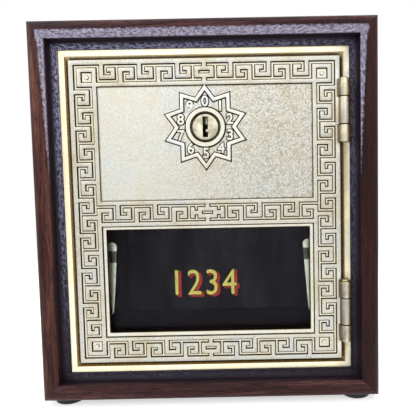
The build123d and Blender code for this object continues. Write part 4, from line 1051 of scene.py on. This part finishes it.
@dataclass
class DoorCasting:
    """The cast door: meander face, pebbled panel, index star, lock boss, knuckles and back."""

    meander: Meander = field(default_factory=Meander)
    face: float = -0.4          # depth of the raised lines
    floor: float = 0.2          # depth of the recesses
    split: float = 1.4          # depth at which the front piece meets the back piece
    lock_z: float = 41.65
    lock_hole: float = 8.5      # radius of the hole behind the boss ring
    window: Quad = (-50.25, 50.25, -59.65, -8.05)   # its left, right, lower and upper edges
    window_lines: tuple[int, int, int, int] = (7, 62, 46, 76)   # grid lines drawn on to its edges
    window_corner: float = 1.0
    window_frame: Triple = (2.4, 2.7, 2.2)      # plain ground beside, below and above the window
    hinge_x: float = 67.58
    hinge_y: float = -1.4
    hinge_z: Pair = (48.2125, -50.3125)
    knuckle: float = 2.85
    middle_knuckle: float = 13.3
    outer_knuckle: float = 8.7
    outer_offset: float = 11.0
    web: Pair = (4.2, 1.4)      # width and thickness of a knuckle's web
    notch_x: float = 64.6
    notch_cut: float = 63.4     # faces nearer to the middle than this are not cut for a notch
    boss: Pair = (7.3, 9.55)
    foot: Pair = (0.38, 0.24)   # dirt line at the foot of a wall, and its fade
    foot_back: float = 0.1      # how far the foot of a separate form reaches behind the floor
    foot_front: float = 0.16    # and how far it stands proud of the floor
    wall_dirt: Quad = (1.0, 0.8, 0.95, 0.85)    # dirt and painted shade on walls that face down, up, right and left; most on those facing down
    arris: float = 0.14
    panel_cells: tuple[int, int] = (290, 154)
    pebble: float = 1.15        # distance between the panel's pebbles
    pebble_slope: float = 0.3   # how far from a crease a pebble reaches its height
    pebble_height: float = 0.05     # at the left; twice that at the right
    star_points: int = 10
    star_tip: float = 20.5
    star_notch: float = 15.0
    inner_tip: float = 17.7
    inner_notch: float = 12.9
    index_radius: float = 12.6
    index_height: float = 4.9
    digit_grow: float = 0.16    # how much bolder a digit is than the font's
    digit_foot: float = 0.62    # and how much bolder the dirt line round its foot
    digit_arris: float = 0.1

    def build(self) -> None:
        """Build every piece of the casting."""
        self.build_face()
        self.build_panel()
        self.build_star()
        self.build_index()
        self.build_boss()
        self.build_knuckles()
        self.build_back()

    def relief_dirt(self, normal: Vector, place: Vector) -> float:
        """Dirt and painted shade on a wall of the relief: the shade is most on a wall that faces
        down, and there is none on the flats.

        Args:
            normal: the face's normal.
            place: the vertex's place.

        Returns:
            The dirt and painted shade, 0 to 1.
        """
        if normal.y < -0.8 or place.y > self.floor + 0.2:
            return self.opening_dirt(normal, place)
        return (by_facing(normal, self.wall_dirt)
                * math.sqrt(ramp(place.y, self.face, self.floor)))

    def opening_dirt(self, normal: Vector, place: Vector) -> float:
        """Black dirt and painted shade down the walls of the window's opening.

        Args:
            normal: the face's normal.
            place: the vertex's place.

        Returns:
            1 on those walls and 0 elsewhere.
        """
        left, right, low, high = self.window
        within = left - 0.1 < place.x < right + 0.1 and low - 0.1 < place.z < high + 0.1
        return 1.0 if within and abs(normal.y) < 0.3 else 0.0

    def relief_depth(self, normal: Vector, place: Vector) -> float:
        """How deep a place lies in the relief, less in the paler ground round the window.

        Args:
            normal: the face's normal.
            place: the vertex's place.

        Returns:
            0 on the raised lines, 1 on the recess floors and 0.4 round the window.
        """
        left, right, low, high = self.window
        side, below, above = self.window_frame
        beside = left - side < place.x < right + side and low - below < place.z < high + above
        reach = ramp(place.y, self.face, self.floor)
        return 0.4 * reach if beside else reach

    @staticmethod
    def drawn_in(line: int, lines: tuple[int, int], value: float, ends: Pair) -> float:
        """Draw a grid line's place on to the window.

        Args:
            line: the line's number.
            lines: the numbers of the lines that lie on the window's two edges.
            value: the line's own place.
            ends: the places of those two edges.

        Returns:
            The edge's place for a line on it, else the line's place kept between the edges.
        """
        if lines[0] < line < lines[1]:
            return min(max(value, min(ends)), max(ends))
        return ends[0] if line == lines[0] else ends[1]

    def cut_hole(self, bm: bmesh.types.BMesh, radius: float) -> None:
        """Open a round hole for the lock in a flat grid.

        Args:
            bm: the grid.
            radius: the hole's radius.
        """
        inside = []
        for face in bm.faces:
            middle = face.calc_center_median()
            if math.hypot(middle.x, middle.z - self.lock_z) < radius:
                inside.append(face)
        bmesh.ops.delete(bm, geom=inside, context="FACES")
        for vert in bm.verts:
            reach = math.hypot(vert.co.x, vert.co.z - self.lock_z)
            if vert.is_boundary and reach < 2 * radius:
                vert.co.x *= radius / reach
                vert.co.z = self.lock_z + (vert.co.z - self.lock_z) * radius / reach

    def build_face(self) -> None:
        """Build the front of the casting with its meander in relief."""
        grid = self.meander
        bm = bmesh.new()
        bmesh.ops.create_grid(bm, x_segments=grid.columns + 2, y_segments=grid.rows + 2, size=0.5)
        turned_forward(bm)
        left, right, low, high = self.window
        first_col, last_col, first_row, last_row = self.window_lines
        for vert in bm.verts:
            col = round((vert.co.x + 0.5) * (grid.columns + 2)) - 1
            row = round((0.5 - vert.co.z) * (grid.rows + 2)) - 1
            vert.co = Vector((grid.column_line(col), self.floor, grid.row_line(row)))
            if first_col <= col <= last_col and first_row <= row <= last_row:
                vert.co.x = self.drawn_in(col, (first_col, last_col), vert.co.x, (left, right))
                vert.co.z = self.drawn_in(row, (first_row, last_row), vert.co.z, (high, low))
        mark = bm.faces.layers.int.new("raised")
        raised = grid.raised()
        for face in bm.faces:
            face[mark] = int(grid.cell(face.calc_center_median()) in raised)
        opening = [f for f in bm.faces if left < f.calc_center_median().x < right
                   and low < f.calc_center_median().z < high]
        bmesh.ops.delete(bm, geom=opening, context="FACES")
        self.cut_hole(bm, self.lock_hole)
        self.cut_notches(bm)
        push(bm, bm.faces[:], self.split - self.floor)
        bmesh.ops.recalc_face_normals(bm, faces=bm.faces)
        fronts = [f for f in bm.faces if f.normal.y < -0.9]
        corners = [e for e in bm.edges if abs(e.verts[0].co.y - e.verts[1].co.y) > 1
                   and min(abs(e.verts[0].co.x - x) for x in (left, right)) < 0.01
                   and min(abs(e.verts[0].co.z - z) for z in (low, high)) < 0.01]
        for width in self.foot:
            bmesh.ops.inset_region(bm, faces=[f for f in fronts if not f[mark]], thickness=width,
                                   use_even_offset=True, use_boundary=True)
        push(bm, [f for f in bm.faces if f[mark] and f.normal.y < -0.9
                  and f.calc_center_median().y < 1], self.face - self.floor)
        round_off(bm, [e for e in corners if e.is_valid], self.window_corner, segments=4)
        bm.normal_update()
        front_edges = [e for e in sharp_edges(bm, 35)
                       if max(v.co.y for v in e.verts) < self.split - 0.1]
        round_off(bm, front_edges, self.arris, clamp=True)
        age(bm, self.relief_dirt, self.relief_depth)
        spread(bm, "dirt", 1.6 * self.foot[0])
        settle(bm, "door_face", DOOR_BRASS, Body.DOOR, ["door"])

    def cut_notches(self, bm: bmesh.types.BMesh) -> None:
        """Cut the door's edge away where the frame's knuckles stand.

        Args:
            bm: the flat grid of the door's face.
        """
        for middle in self.hinge_z:
            for side in (-1, 1):
                centre = middle + side * self.outer_offset
                low, high = centre - self.outer_knuckle / 2, centre + self.outer_knuckle / 2
                for point, way in (((self.notch_x, 0, 0), (1, 0, 0)), ((0, 0, low), (0, 0, 1)),
                                   ((0, 0, high), (0, 0, 1))):
                    near = [f for f in bm.faces if f.calc_center_median().x > self.notch_cut
                            and abs(f.calc_center_median().z - centre) < self.outer_knuckle]
                    geom = near + list({e for f in near for e in f.edges})
                    geom += list({v for f in near for v in f.verts})
                    bmesh.ops.bisect_plane(bm, geom=geom, plane_co=point, plane_no=way)
                gone = [f for f in bm.faces if f.calc_center_median().x > self.notch_x
                        and low < f.calc_center_median().z < high]
                bmesh.ops.delete(bm, geom=gone, context="FACES")

    def build_panel(self) -> None:
        """Build the panel's pebbled ground."""
        grid = self.meander
        right = -grid.column_line(grid.border)
        high, low = grid.row_line(grid.border), grid.row_line(grid.rail_top)
        bm = bmesh.new()
        across, down = self.panel_cells
        bmesh.ops.create_grid(bm, x_segments=across, y_segments=down, size=0.5)
        turned_forward(bm)
        bmesh.ops.scale(bm, verts=bm.verts, vec=(2 * right, 1, high - low))
        bmesh.ops.translate(bm, verts=bm.verts, vec=(0, self.floor - 0.03, (high + low) / 2))
        self.cut_hole(bm, self.lock_hole + 0.2)
        back = push(bm, bm.faces[:], 0.4)
        bmesh.ops.recalc_face_normals(bm, faces=bm.faces)
        dirt = bm.verts.layers.float.new("dirt")
        depth = bm.verts.layers.float.new("depth")
        for vert in bm.verts:
            x, z = vert.co.x, vert.co.z
            # The pebbles are drawn out along a slanting line.
            near = noise.voronoi(Vector((0.6 * (x + z), 0, x - z)) / self.pebble)[0]
            height = min(near[1] - near[0], self.pebble_slope) / self.pebble_slope
            edge = min(right - abs(x), high - z, z - low)
            # Dirt round the edge and in the creases, with painted shade: the creases darken towards
            # the right and the edge is darkest just under the rail above.
            under = 1.0 if high - z < 0.8 else 0.6
            rightward = ramp(x, -30, 30)
            vert[dirt] = (under * max(0.0, 1.1 - edge / 0.75)
                          + (0.05 + 0.26 * rightward) * (1 - height))
            vert[depth] = 1 - height
            if vert not in back and edge > 0.1:
                vert.co.y -= self.pebble_height * (1 + rightward) * height
        settle(bm, "door_panel", PANEL_BRASS, Body.DOOR, ["door"], crease=60)

    def star(self, bm: bmesh.types.BMesh, grow: float, front: float, back: float,
             soften: float) -> None:
        """Add the star's band between its two outlines.

        Args:
            bm: where the band is added.
            grow: how much wider each side of the band is than drawn.
            front: depth of its front face.
            back: depth of its back.
            soften: width of its bevelled arrises.
        """
        loops = []
        for tip, notch, away in ((self.star_tip, self.star_notch, 1),
                                 (self.inner_tip, self.inner_notch, -1)):
            ring = bmesh.ops.create_circle(bm, segments=2 * self.star_points, radius=1.0,
                                           cap_ends=False)["verts"]
            for index, vert in enumerate(ring):
                # A tip moves 1.5 times as far as a notch, which keeps the band's sides parallel.
                reach = (tip + 1.5 * away * grow) if index % 2 == 0 else (notch + away * grow)
                angle = math.pi / 2 - index * math.pi / self.star_points
                vert.co = Vector((reach * math.cos(angle), front,
                                  self.lock_z + reach * math.sin(angle)))
            loops += list({e for v in ring for e in v.link_edges})
        band = bmesh.ops.bridge_loops(bm, edges=loops)["faces"]
        push(bm, band, back - front)
        bmesh.ops.recalc_face_normals(bm, faces=bm.faces)
        if soften:
            round_off(bm, sharp_edges(bm, 20), soften, clamp=True)

    def build_star(self) -> None:
        """Build the index star and the dirt line round its foot."""
        bm = bmesh.new()
        back = self.floor + self.foot_back
        self.star(bm, 0.0, self.face, back, 0.2)
        age(bm, self.relief_dirt, 0.0)
        foot = bmesh.new()
        self.star(foot, 0.58, self.floor - self.foot_front, back, 0.0)
        age(foot, FOOT_DIRT, FOOT_DEPTH)
        join(bm, foot)
        settle(bm, "index_star", DOOR_BRASS, Body.DOOR, ["door"])

    def build_index(self) -> None:
        """Build the raised digits 0 to 9, clockwise from the top of the star."""
        bm = bmesh.new()
        for digit in range(self.star_points):
            angle = math.pi / 2 - digit * math.tau / self.star_points
            x = self.index_radius * math.cos(angle)
            z = self.lock_z + self.index_radius * math.sin(angle)
            shape = lettering(str(digit), self.index_height, 0.6, self.digit_grow,
                              self.digit_arris)
            age(shape, 0.0, 0.0)
            join(bm, shape, (x, self.face + 0.1, z))
            foot = lettering(str(digit), self.index_height, 0.2, self.digit_foot)
            age(foot, FOOT_DIRT, FOOT_DEPTH)
            join(bm, foot, (x, self.floor - self.foot_front - 0.01, z))
        settle(bm, "index_digits", DOOR_BRASS, Body.DOOR, ["door"])

    def boss_dirt(self, normal: Vector, place: Vector) -> float:
        """Painted shade down the bore of the boss ring, and dirt round its foot.

        Args:
            normal: the face's normal; the value is the same whichever way it faces.
            place: the vertex's place.

        Returns:
            The painted shade and dirt, 0 to 1.
        """
        reach = math.hypot(place.x, place.z - self.lock_z)
        if reach < self.boss[0] + 0.1 and place.y > self.floor - 1.3:
            return 1.0
        return 0.9 if place.y > self.floor - 0.3 else 0.0

    def build_boss(self) -> None:
        """Build the ring round the lock and the dots in the corner squares."""
        inner, outer = self.boss
        front, back = self.floor - 1.4, self.floor + self.foot_back
        lock = Vector((0, 0, self.lock_z))
        bm = bmesh.new()
        turned_ring(bm, [(inner, 0.5), (inner, front + 0.3), (inner + 0.3, front),
                         (outer - 0.5, front), (outer - 0.1, front + 0.25),
                         (outer + 0.1, self.floor - 0.1), (outer + 0.1, 0.5)], 96, lock)
        age(bm, self.boss_dirt, 0.35)
        foot = bmesh.new()
        turned_ring(foot, [(outer, back), (outer, self.floor - self.foot_front),
                           (outer + 0.6, self.floor - 0.15), (outer + 0.6, back)], 96, lock)
        age(foot, FOOT_DIRT, FOOT_DEPTH)
        join(bm, foot)
        grid = self.meander
        for x in (-1, 1):
            for z in (-1, 1):
                centre = Vector((x * (grid.half_width - 3.5 * grid.width), 0,
                                 z * (grid.half_height - 3.5 * grid.height)))
                dot = bmesh.new()
                turned_ring(dot, [(0.02, back), (0.02, self.face), (0.75, self.face),
                                  (0.95, self.face + 0.15), (1.0, back)], 20, centre)
                age(dot, self.relief_dirt, 0.0)
                join(bm, dot)
        settle(bm, "lock_boss", DOOR_BRASS, Body.DOOR, ["door"])

    def build_knuckles(self) -> None:
        """Build the door's own hinge knuckles with their webs."""
        bm = bmesh.new()
        wide, thick = self.web
        for middle in self.hinge_z:
            place = Vector((self.hinge_x, self.hinge_y, middle))
            barrel = bmesh.new()
            bmesh.ops.create_cone(barrel, segments=40, radius1=self.knuckle, radius2=self.knuckle,
                                  depth=self.middle_knuckle, cap_ends=True)
            round_off(barrel, sharp_edges(barrel, 57), 0.4)
            bmesh.ops.translate(barrel, verts=barrel.verts, vec=place)
            age(barrel, knuckle_dirt, knuckle_depth)
            join(bm, barrel)
            web = bmesh.new()
            bmesh.ops.create_cube(web, size=1.0)
            bmesh.ops.scale(web, verts=web.verts, vec=(wide, thick, self.middle_knuckle))
            round_off(web, web.edges[:], 0.2)
            age(web, 0.08, 0.25)
            join(bm, web, place + Vector((-wide / 2, thick / 2, 0)))
        settle(bm, "door_knuckles", HINGE_BRASS, Body.DOOR, ["door"])

    def build_back(self) -> None:
        """Build the back of the casting: a copy whose relief is pressed into the plate."""
        bm = cad_copy("door", 0.15)
        for vert in bm.verts:
            vert.co.y = max(vert.co.y, self.split - 0.05)
            vert.co.x = min(vert.co.x, self.meander.half_width + self.meander.rim)
        age(bm, lambda normal, place:
            0.25 if normal.y > 0.5 else self.opening_dirt(normal, place), 0.5)
        settle(bm, "door_back", DOOR_BRASS, Body.DOOR, ["door"])


# ---------------------------------------------------------------- lock, window and bolt
@dataclass
class Lock:
    """The pin lock: body, plug, pins, springs, cap and crank."""

    lock_z: float = 41.65
    face: float = -1.0          # front of the plug
    keyway: Pair = (1.325, 5.0)     # half its width and half its height
    soften: float = 0.12

    def keyway_dirt(self, normal: Vector, place: Vector) -> float:
        """Painted shade inside the keyway, from just behind its mouth.

        Args:
            normal: the face's normal; the shade is the same whichever way it faces.
            place: the vertex's place.

        Returns:
            The dirt, 0 to 1.
        """
        wide, tall = self.keyway
        within = abs(place.x) < wide + 0.05 and abs(place.z - self.lock_z) < tall + 0.05
        return 0.97 if within and place.y > self.face + 0.2 else 0.0

    def build(self) -> None:
        """Build and dress every piece of the lock."""
        plug = cad_copy("lock_plug", self.soften)
        stain(plug, "dirt", self.keyway_dirt)
        settle(plug, "plug", LOCK_BRASS, Body.PLUG, ["lock_plug"])
        nose = cad_copy("lock_body", self.soften)
        # Painted shade on the nose of the lock body, round the plug.
        stain(nose, "dirt", lambda normal, place: 0.85 if place.y < 1.6 else 0.0)
        settle(nose, "lock_case", LOCK_BRASS, Body.DOOR, ["lock_body"])
        settle(cad_copy("lock_driver", self.soften), "crank", STEEL, Body.PLUG,
               ["lock_driver"])
        dress(CLIP_BRASS, "key_pins")
        dress(LOCK_BRASS, "driver_pins", "chamber_cap")
        dress(WIRE, "pin_springs")
        dress(SCREW_BRASS, "lock_body_screws", "driver_screw")


@dataclass
class Window:
    """The pane, its two spring clips and the painted number."""

    number: str = "1234"
    centre: Vector = field(default_factory=lambda: Vector((-2.4, 6.82, -36.2)))
    height: float = 13.0
    narrow: float = 0.84        # width of a digit against the font's own
    spacing: float = 1.16
    shadow: float = 1.3         # how far to the right the red shadow falls
    clip_band: Pair = (-25.3, -19.6)    # where a dark band is painted across the clips as a reflection

    def build(self) -> None:
        """Build and dress every piece of the window."""
        dress(GLASS, "window_glass")
        for side in ("left", "right"):
            clip = cad_copy(f"glass_clip_{side}", 0.1)
            low, high = self.clip_band
            for level in (low - 0.5, low, high, high + 0.5):
                cut(clip, (0, 0, level), (0, 0, 1))
            # A dark band painted across each clip stands in for a reflection.
            stain(clip, "dirt", lambda normal, place:
                  0.86 if low <= place.z + 0.01 <= high + 0.02 else 0.0)
            settle(clip, f"spring_clip_{side}", CLIP_BRASS, Body.DOOR,
                   [f"glass_clip_{side}"])
        dress(SCREW_BRASS, "glass_clip_screws")
        self.paint_number()

    def paint_number(self) -> None:
        """Paint the digits on the back of the glass: gold, a dark outline and a red shadow."""
        drop = Vector((self.shadow, 0, -self.shadow * 0.65))
        for name, finish, grow, move in (
                ("number_gold", GOLD_PAINT, 0.02, Vector((0, 0, 0))),
                ("number_outline", BLACK_PAINT, 0.36, Vector((0.1, 0.04, -0.1))),
                ("number_shadow", RED_PAINT, 0.3, drop + Vector((0, 0.08, 0)))):
            bm = lettering(self.number, self.height, 0.02, grow, spacing=self.spacing)
            bmesh.ops.scale(bm, verts=bm.verts, vec=(self.narrow, 1, 1))
            bmesh.ops.translate(bm, verts=bm.verts, vec=self.centre + move)
            settle(bm, name, finish, Body.DOOR)


@dataclass
class BoltWork:
    """The bolt behind the door and its two guides."""

    soften: float = 0.2

    def build(self) -> None:
        """Build and dress the bolt and its guides."""
        settle(cad_copy("bolt", self.soften), "bolt_bar", STEEL, Body.BOLT, ["bolt"])
        for place in ("inner", "outer"):
            settle(cad_copy(f"bolt_guide_{place}", self.soften), f"guide_{place}", STEEL, Body.DOOR,
                   [f"bolt_guide_{place}"])
        dress(SCREW_BRASS, "bolt_guide_screws")


# ---------------------------------------------------------------- frame and case
@dataclass
class Frame:
    """The cast frame with its flange and outer knuckles."""

    soften: float = 0.18
    wall: Pair = (65.98, 75.125)    # half the opening behind the bevel, across and up
    band: float = 1.6               # width of the inner bevel
    knuckle_reach: float = 3.0      # how far inside that wall the knuckles begin
    bevel_dirt: Quad = (0.36, 0.7, 0.5, 0.44)   # dirt and painted shade on bevels that face down, up, right and left

    def on_knuckle(self, place: Vector) -> bool:
        """Tell whether a place lies on a knuckle, which stands proud of the flange."""
        return place.x > self.wall[0] - self.knuckle_reach and place.y < -0.3

    def dirt(self, normal: Vector, place: Vector) -> float:
        """Dirt and painted shade on the inner bevel, the walls behind it and the knuckles; the
        shade changes with the way a bevel faces.

        Args:
            normal: the face's normal.
            place: the vertex's place.

        Returns:
            The dirt and painted shade, 0 to 1.
        """
        if self.on_knuckle(place):
            return knuckle_dirt(normal, place)
        if normal.y < -0.85 or place.y > 16:
            return 0.0
        across = abs(place.x) - self.wall[0] - self.band
        upward = abs(place.z) - self.wall[1] - self.band
        if max(across, upward) > 0.1:
            return 0.2
        if place.y > self.band + 0.3:
            return 0.8
        return by_facing(normal, self.bevel_dirt)

    def depth(self, normal: Vector, place: Vector) -> float:
        """Greyness of the frame.

        Args:
            normal: the face's normal.
            place: the vertex's place.

        Returns:
            0 on the rubbed flange, more down its hinge side and most on the duller knuckles, whose
            left sides are greyed further as painted shade.
        """
        if self.on_knuckle(place):
            return 0.15 + knuckle_depth(normal, place)
        return 0.5 if place.x > self.wall[0] - 2.0 else 0.0

    def build(self) -> None:
        """Build the frame and dress its screws and pins."""
        bm = cad_copy("door_frame", self.soften)
        cut(bm, (self.wall[0] - self.knuckle_reach - 1.0, 0, 0), (1, 0, 0))
        age(bm, self.dirt, self.depth)
        settle(bm, "cast_frame", FRAME_BRASS, Body.CASE, ["door_frame"])
        dress(SCREW_BRASS, "frame_screws")
        for place in ("upper", "lower"):
            settle(cad_copy(f"{place}_hinge_pin", 0.08), f"pin_{place}", PIN_BRASS, Body.CASE,
                   [f"{place}_hinge_pin"])


@dataclass
class WoodenCase:
    """The mitred case: four moulded boards, the back panel and the feet."""

    soften: float = 0.35
    flange: Pair = (70.38, 79.525)      # half the flange, across and up

    def reach(self, normal: Vector, place: Vector) -> float:
        """How far outside the flange a place lies."""
        return max(abs(place.x) - self.flange[0], abs(place.z) - self.flange[1])

    def dust(self, normal: Vector, place: Vector) -> float:
        """Dust, with a faint painted reflection, on the boards' faces that look into the case.

        Args:
            normal: the face's normal.
            place: the vertex's place.

        Returns:
            The dust, 0 to 1.
        """
        inside = abs(place.x) < self.flange[0] - 1 or abs(place.z) < self.flange[1] - 1
        inward = normal.x * place.x + normal.z * place.z < 0
        return 0.15 if inside and inward and place.y > 4 else 0.0

    def build(self) -> None:
        """Build and dress the case."""
        for side, finish in (("top", LEVEL_WALNUT), ("bottom", LEVEL_WALNUT),
                             ("left", UPRIGHT_WALNUT), ("right", SHADED_WALNUT)):
            bm = cad_copy(f"case_{side}", self.soften)
            stain(bm, "reach", self.reach)
            stain(bm, "dust", self.dust)
            settle(bm, f"board_{side}", finish, Body.CASE, [f"case_{side}"])
        panel = cad_copy("back_panel")
        stain(panel, "reach", 20.0)
        # Dust and a painted reflection, lighter towards the top of the panel.
        stain(panel, "dust", lambda normal, place: 0.95 + 0.004 * place.z)
        settle(panel, "panel_back", PANEL_WALNUT, Body.CASE, ["back_panel"])
        for corner in ("front_left", "front_right", "back_left", "back_right"):
            settle(cad_copy(f"foot_{corner}", 0.3), f"rubber_{corner}", RUBBER, Body.CASE,
                   [f"foot_{corner}"])
        dress(SCREW_BRASS, "back_panel_screws", "foot_screws")


# ---------------------------------------------------------------- studio
@dataclass
class Studio:
    """Floor, world, lamps and camera."""

    eye: Vector = field(default_factory=lambda: Vector((22.0, -261.0, 110.0)))     # in mm
    turn: float = -0.12         # turn, pitch and roll in degrees
    pitch: float = 3.38
    roll: float = 1.11
    focal_px: float = 430.0
    middle_px: Pair = (253.0, 208.0)    # where the view's axis meets the picture
    frame_px: float = 416.0
    sensor_mm: float = 36.0
    ambient: float = 0.5        # light of the surroundings on matt surfaces
    floor_radius: float = 0.9   # in metres
    fade: Pair = (0.18, 0.5)    # distances, in metres, between which the floor turns plain white
    lift: float = 0.58          # how much the paper glows near the object, so that it stays white
    aim: Triple = (0.0, 0.0, 0.09)      # what every lamp looks at, in metres

    def build(self) -> None:
        """Build the whole studio."""
        self.build_world()
        self.build_floor()
        self.build_lamps()
        self.build_camera()
        bpy.context.scene.view_settings.view_transform = "Standard"

    def direct(self, tree: bpy.types.NodeTree) -> bpy.types.NodeSocket:
        """Add the nodes that tell what is seen from what only lights.

        Args:
            tree: the node tree of the world or of the floor.

        Returns:
            1 to the camera, in reflections and through glass, and 0 to light that surfaces scatter.
        """
        path = add_node(tree, "ShaderNodeLightPath").outputs
        seen = path["Is Camera Ray"]
        for kind in ("Is Glossy Ray", "Is Transmission Ray"):
            seen = add_node(tree, "ShaderNodeMath", {0: seen, 1: path[kind]},
                            operation="MAXIMUM").outputs[0]
        clean = add_node(tree, "ShaderNodeMath", {0: path["Diffuse Depth"], 1: 0.5},
                         operation="LESS_THAN").outputs[0]
        return add_node(tree, "ShaderNodeMath", {0: seen, 1: clean},
                        operation="MULTIPLY").outputs[0]

    def build_world(self) -> None:
        """White to the camera and in reflections, a plain grey light to everything else."""
        world = bpy.data.worlds.new("studio")
        bpy.context.scene.world = world
        world.use_nodes = True
        tree = world.node_tree
        tree.nodes.clear()
        white = add_node(tree, "ShaderNodeBackground", {"Color": (1, 1, 1, 1), "Strength": 1.0})
        grey = add_node(tree, "ShaderNodeBackground", {"Color": (1, 1, 1, 1),
                                                        "Strength": self.ambient})
        mixed = add_node(tree, "ShaderNodeMixShader", {0: self.direct(tree), 1: grey.outputs[0],
                                                       2: white.outputs[0]})
        add_node(tree, "ShaderNodeOutputWorld", {"Surface": mixed.outputs[0]})

    def build_floor(self) -> None:
        """A plain white floor that keeps the shadow near the object and fades into the white."""
        bm = bmesh.new()
        bmesh.ops.create_circle(bm, segments=96, radius=self.floor_radius, cap_ends=True)
        mesh = bpy.data.meshes.new("floor")
        bm.to_mesh(mesh)
        bm.free()
        floor = bpy.data.objects.new("floor", mesh)
        bpy.context.scene.collection.objects.link(floor)
        # Matt white paper: a soft contact shadow under the feet and nothing else.
        paper = bpy.data.materials.new("white_paper")
        paper.use_nodes = True
        tree = paper.node_tree
        tree.nodes.clear()
        place = add_node(tree, "ShaderNodeTexCoord").outputs["Object"]
        reach = add_node(tree, "ShaderNodeVectorMath", {0: place},
                         operation="LENGTH").outputs["Value"]
        far = add_node(tree, "ShaderNodeMapRange",
                       {"Value": reach, "From Min": self.fade[0], "From Max": self.fade[1]})
        lit = add_node(tree, "ShaderNodeBsdfDiffuse", {"Color": colour("#F4F4F4")})
        lift = add_node(tree, "ShaderNodeEmission", {"Color": (1, 1, 1, 1), "Strength": self.lift})
        near = add_node(tree, "ShaderNodeAddShader", {0: lit.outputs[0], 1: lift.outputs[0]})
        white = add_node(tree, "ShaderNodeEmission", {"Color": (1, 1, 1, 1), "Strength": 1.0})
        seen = add_node(tree, "ShaderNodeMixShader", {0: far.outputs[0], 1: near.outputs[0],
                                                      2: white.outputs[0]})
        whole = add_node(tree, "ShaderNodeMixShader", {0: self.direct(tree), 1: lit.outputs[0],
                                                       2: seen.outputs[0]})
        add_node(tree, "ShaderNodeOutputMaterial", {"Surface": whole.outputs[0]})
        mesh.materials.append(paper)

    def build_lamps(self) -> None:
        """A soft key from the left, a wide one in front, and weaker ones elsewhere.

        Each lamp is given by its place in metres, its side in metres and its power in watts.
        """
        for name, place, size, power in (("key", (-1.4, -0.8, 1.0), 1.4, 13.0),
                                         ("front", (0.0, -1.6, 1.1), 1.6, 8.0),
                                         ("fill", (1.4, -0.8, 0.5), 1.4, 3.0),
                                         ("top", (0.0, 0.2, 1.4), 1.4, 6.0),
                                         ("rear", (0.1, 1.3, 0.8), 1.4, 8.0)):
            lamp = bpy.data.lights.new(name, "AREA")
            lamp.shape = "SQUARE"
            lamp.size = size
            lamp.energy = power
            holder = bpy.data.objects.new(name, lamp)
            bpy.context.scene.collection.objects.link(holder)
            holder.location = place
            holder.rotation_mode = "QUATERNION"
            aim = Vector(self.aim) - Vector(place)
            holder.rotation_quaternion = aim.to_track_quat("-Z", "Y")

    def build_camera(self) -> None:
        """The camera, square to the door but a little to the right and above."""
        lens = bpy.data.cameras.new("camera")
        lens.sensor_width = self.sensor_mm
        lens.lens = self.sensor_mm * self.focal_px / self.frame_px
        lens.shift_x = (self.frame_px / 2 - self.middle_px[0]) / self.frame_px
        lens.shift_y = (self.middle_px[1] - self.frame_px / 2) / self.frame_px
        lens.clip_start, lens.clip_end = 0.01, 10.0
        turn = (Matrix.Rotation(math.radians(self.turn), 3, "Z")
                @ Matrix.Rotation(-math.radians(self.pitch), 3, "X")
                @ Matrix.Rotation(math.radians(self.roll), 3, "Y")
                @ Matrix.Rotation(math.pi / 2, 3, "X"))
        holder = bpy.data.objects.new("camera", lens)
        bpy.context.scene.collection.objects.link(holder)
        holder.matrix_world = Matrix.Translation(self.eye * MM) @ turn.to_4x4()
        bpy.context.scene.camera = holder


def main() -> None:
    """Build every piece and the studio."""
    logging.basicConfig(level=logging.INFO, format="%(name)s: %(message)s")
    for part in (WoodenCase(), Frame(), DoorCasting(), Lock(), Window(), BoltWork(), Studio()):
        part.build()
        log.info("built %s", type(part).__name__)


if __name__ == "__main__":
    main()
